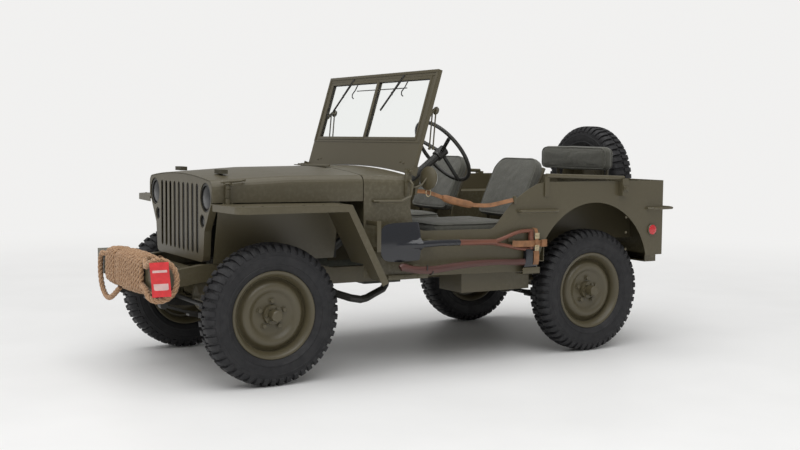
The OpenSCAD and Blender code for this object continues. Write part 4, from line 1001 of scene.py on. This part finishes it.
# ---- body fittings ----
def fittings():
    made, red, tail, glass = Build(), Build(), Build(), Build()
    for way in (-1, 1):
        # step ledge under the cowl, and bolts on the fenders and sides
        made.box(at(way * 622 - 22, 673, 492), at(way * 622 + 22, 921, 500), 0.002)
        made.box(at(way * 644 - 3, 673, 492), at(way * 644 + 3, 921, 518), 0.002)
        for s in (700, 780, 860):
            made.bolt(at(way * 647, s, 506), (way, 0, 0), 0.006, 0.004, True)
        for s in (-190, -90, 20, 130, 240, 340):
            made.bolt(at(way * 740, s, 910), (0, 0, 1), 0.006, 0.003, True)
        for z in (600, 700, 790):
            made.bolt(at(way * 738, 2250, z), (way, 0, 0), 0.006, 0.003, True)
        # bow pivot: a wing nut on a round boss
        boss = aim(at(way * 769, 2212, 962), (way, 0, 0))
        made.lathe([(0.017, 0.0), (0.017, 0.006), (0.009, 0.009), (0.009, 0.014)], boss, 20)
        wings = ((776, 2196, 978), (779, 2212, 962), (776, 2228, 946))
        made.band([at(way * x, s, z) for x, s, z in wings], 0.012, 0.004, (way, 0, 0))
        place = aim(at(way * 736, 2460, 710), (way, 0, 0))
        red.lathe([(0.030, 0.0), (0.030, 0.007), (0.026, 0.011), (0.014, 0.014), (0.001, 0.0145)], place, 32)
        bezel = [(0.0305, 0.0), (0.036, 0.0), (0.036, 0.006), (0.033, 0.009), (0.0305, 0.008)]
        made.lathe(bezel, place, 32, closed=True)
        back = aim(at(way * 600, 2546, 820), (0, 1, 0))
        made.lathe([(0.040, 0.0), (0.040, 0.024), (0.037, 0.028), (0.033, 0.029)], back, 32)
        tail.lathe([(0.030, 0.027), (0.030, 0.032), (0.020, 0.036), (0.001, 0.037)], back, 28)
        rear = aim(at(way * 600, 2546, 720), (0, 1, 0))
        tail.lathe([(0.031, 0.0), (0.031, 0.008), (0.020, 0.013), (0.001, 0.014)], rear, 28)
        made.lathe([(0.0315, 0.0), (0.037, 0.0), (0.037, 0.007), (0.0315, 0.008)], rear, 28, closed=True)
    # mirror on the left windshield bracket, its back towards the front
    disc = aim(at(680, 897, 1035), (0.25, -1, 0.05))
    made.lathe([(0.0600, -0.006), (0.0630, -0.002), (0.0630, 0.003), (0.0560, 0.008), (0.0350, 0.013),
                (0.0100, 0.015), (0.001, 0.0152)], disc, 48)
    glass.lathe([(0.0590, -0.0065), (0.0590, -0.0085)], disc, 48)
    made.tube([at(645, 812, 985), at(664, 828, 985), at(676, 858, 1000), at(680, 886, 1035)], 0.0055, 10)
    made.done("body_fittings", "olive_paint", "body")
    red.done("side_reflectors", "reflector_red", "body")
    tail.done("tail_lenses", "reflector_red", "body")
    glass.done("mirror_glass", "lamp_metal", "body")


fittings()


# ---- floor, background, lamps and view ----
PALE = (1.0, 0.995, 0.985, 1.0)
PALE_LEVEL = 0.88
FILL_LEVEL = 0.42


def floor_material():
    """Pale floor that glows softly far from the car, so that it meets the background without an edge."""
    look = Look("floor")
    look.feed(look.ramp(look.noise(1.2), [(0.3, rgb((0.84, 0.84, 0.835))), (0.7, rgb((0.88, 0.88, 0.875)))]),
              "Base Color")
    look.fix("Roughness", 0.45)
    far = look.node("VectorMath", operation="LENGTH")
    look.feed(look.coords, far.inputs[0])
    fade = look.node("MapRange", interpolation_type="SMOOTHSTEP")
    fade.inputs["From Min"].default_value = 3.2
    fade.inputs["From Max"].default_value = 9.0
    look.feed(far.outputs["Value"], fade.inputs["Value"])
    glow = look.node("Emission")
    glow.inputs["Color"].default_value = PALE
    glow.inputs["Strength"].default_value = PALE_LEVEL
    both = look.node("MixShader")
    look.feed(fade.outputs["Result"], both.inputs["Fac"])
    look.feed(look.shader.outputs["BSDF"], both.inputs[1])
    look.feed(glow.outputs["Emission"], both.inputs[2])
    look.feed(both.outputs["Shader"], look.tree.nodes["Material Output"].inputs["Surface"])
    return look.material


def make_background():
    """A pale world that lights the car less than it shows."""
    world = bpy.data.worlds.new("studio")
    world.use_nodes = True
    nodes, links = world.node_tree.nodes, world.node_tree.links
    path = nodes.new("ShaderNodeLightPath")
    seen = nodes.new("ShaderNodeMath")
    seen.operation = "MAXIMUM"
    links.new(path.outputs["Is Camera Ray"], seen.inputs[0])
    links.new(path.outputs["Is Transmission Ray"], seen.inputs[1])
    level = nodes.new("ShaderNodeMapRange")
    level.inputs["To Min"].default_value = FILL_LEVEL
    level.inputs["To Max"].default_value = PALE_LEVEL
    links.new(seen.outputs[0], level.inputs["Value"])
    nodes["Background"].inputs["Color"].default_value = PALE
    links.new(level.outputs["Result"], nodes["Background"].inputs["Strength"])
    bpy.context.scene.world = world


def make_lamp(name, kind, energy, place, way):
    """A lamp that looks along way."""
    data = bpy.data.lights.new(name, kind)
    data.energy = energy
    lamp = bpy.data.objects.new(name, data)
    bpy.context.scene.collection.objects.link(lamp)
    lamp.location = place
    lamp.rotation_euler = Vector(way).to_track_quat("-Z", "Y").to_euler()
    return data


def make_stage():
    size = 24.0
    mesh = bpy.data.meshes.new("floor")
    corners = [(-size, -size, 0), (size, -size, 0), (size, size, 0), (-size, size, 0)]
    mesh.from_pydata(corners, [], [(0, 1, 2, 3)])
    mesh.materials.append(floor_material())
    floor = bpy.data.objects.new("floor", mesh)
    bpy.context.scene.collection.objects.link(floor)
    make_background()
    middle = Vector((0, 0, 0.6))
    for name, place, power in (("key", (5.0, -2.0, 4.5), 60.0), ("front", (1.0, -7.0, 4.0), 45.0)):
        panel = make_lamp(name, "AREA", power, place, middle - Vector(place))
        panel.shape = "RECTANGLE"
        panel.size, panel.size_y = 4.0, 3.0
    make_lamp("overhead", "SUN", 1.85, (0, 0, 0), (-0.10, 0.18, -1.0)).angle = math.radians(75)


make_stage()
bpy.context.scene.view_settings.view_transform = "Standard"
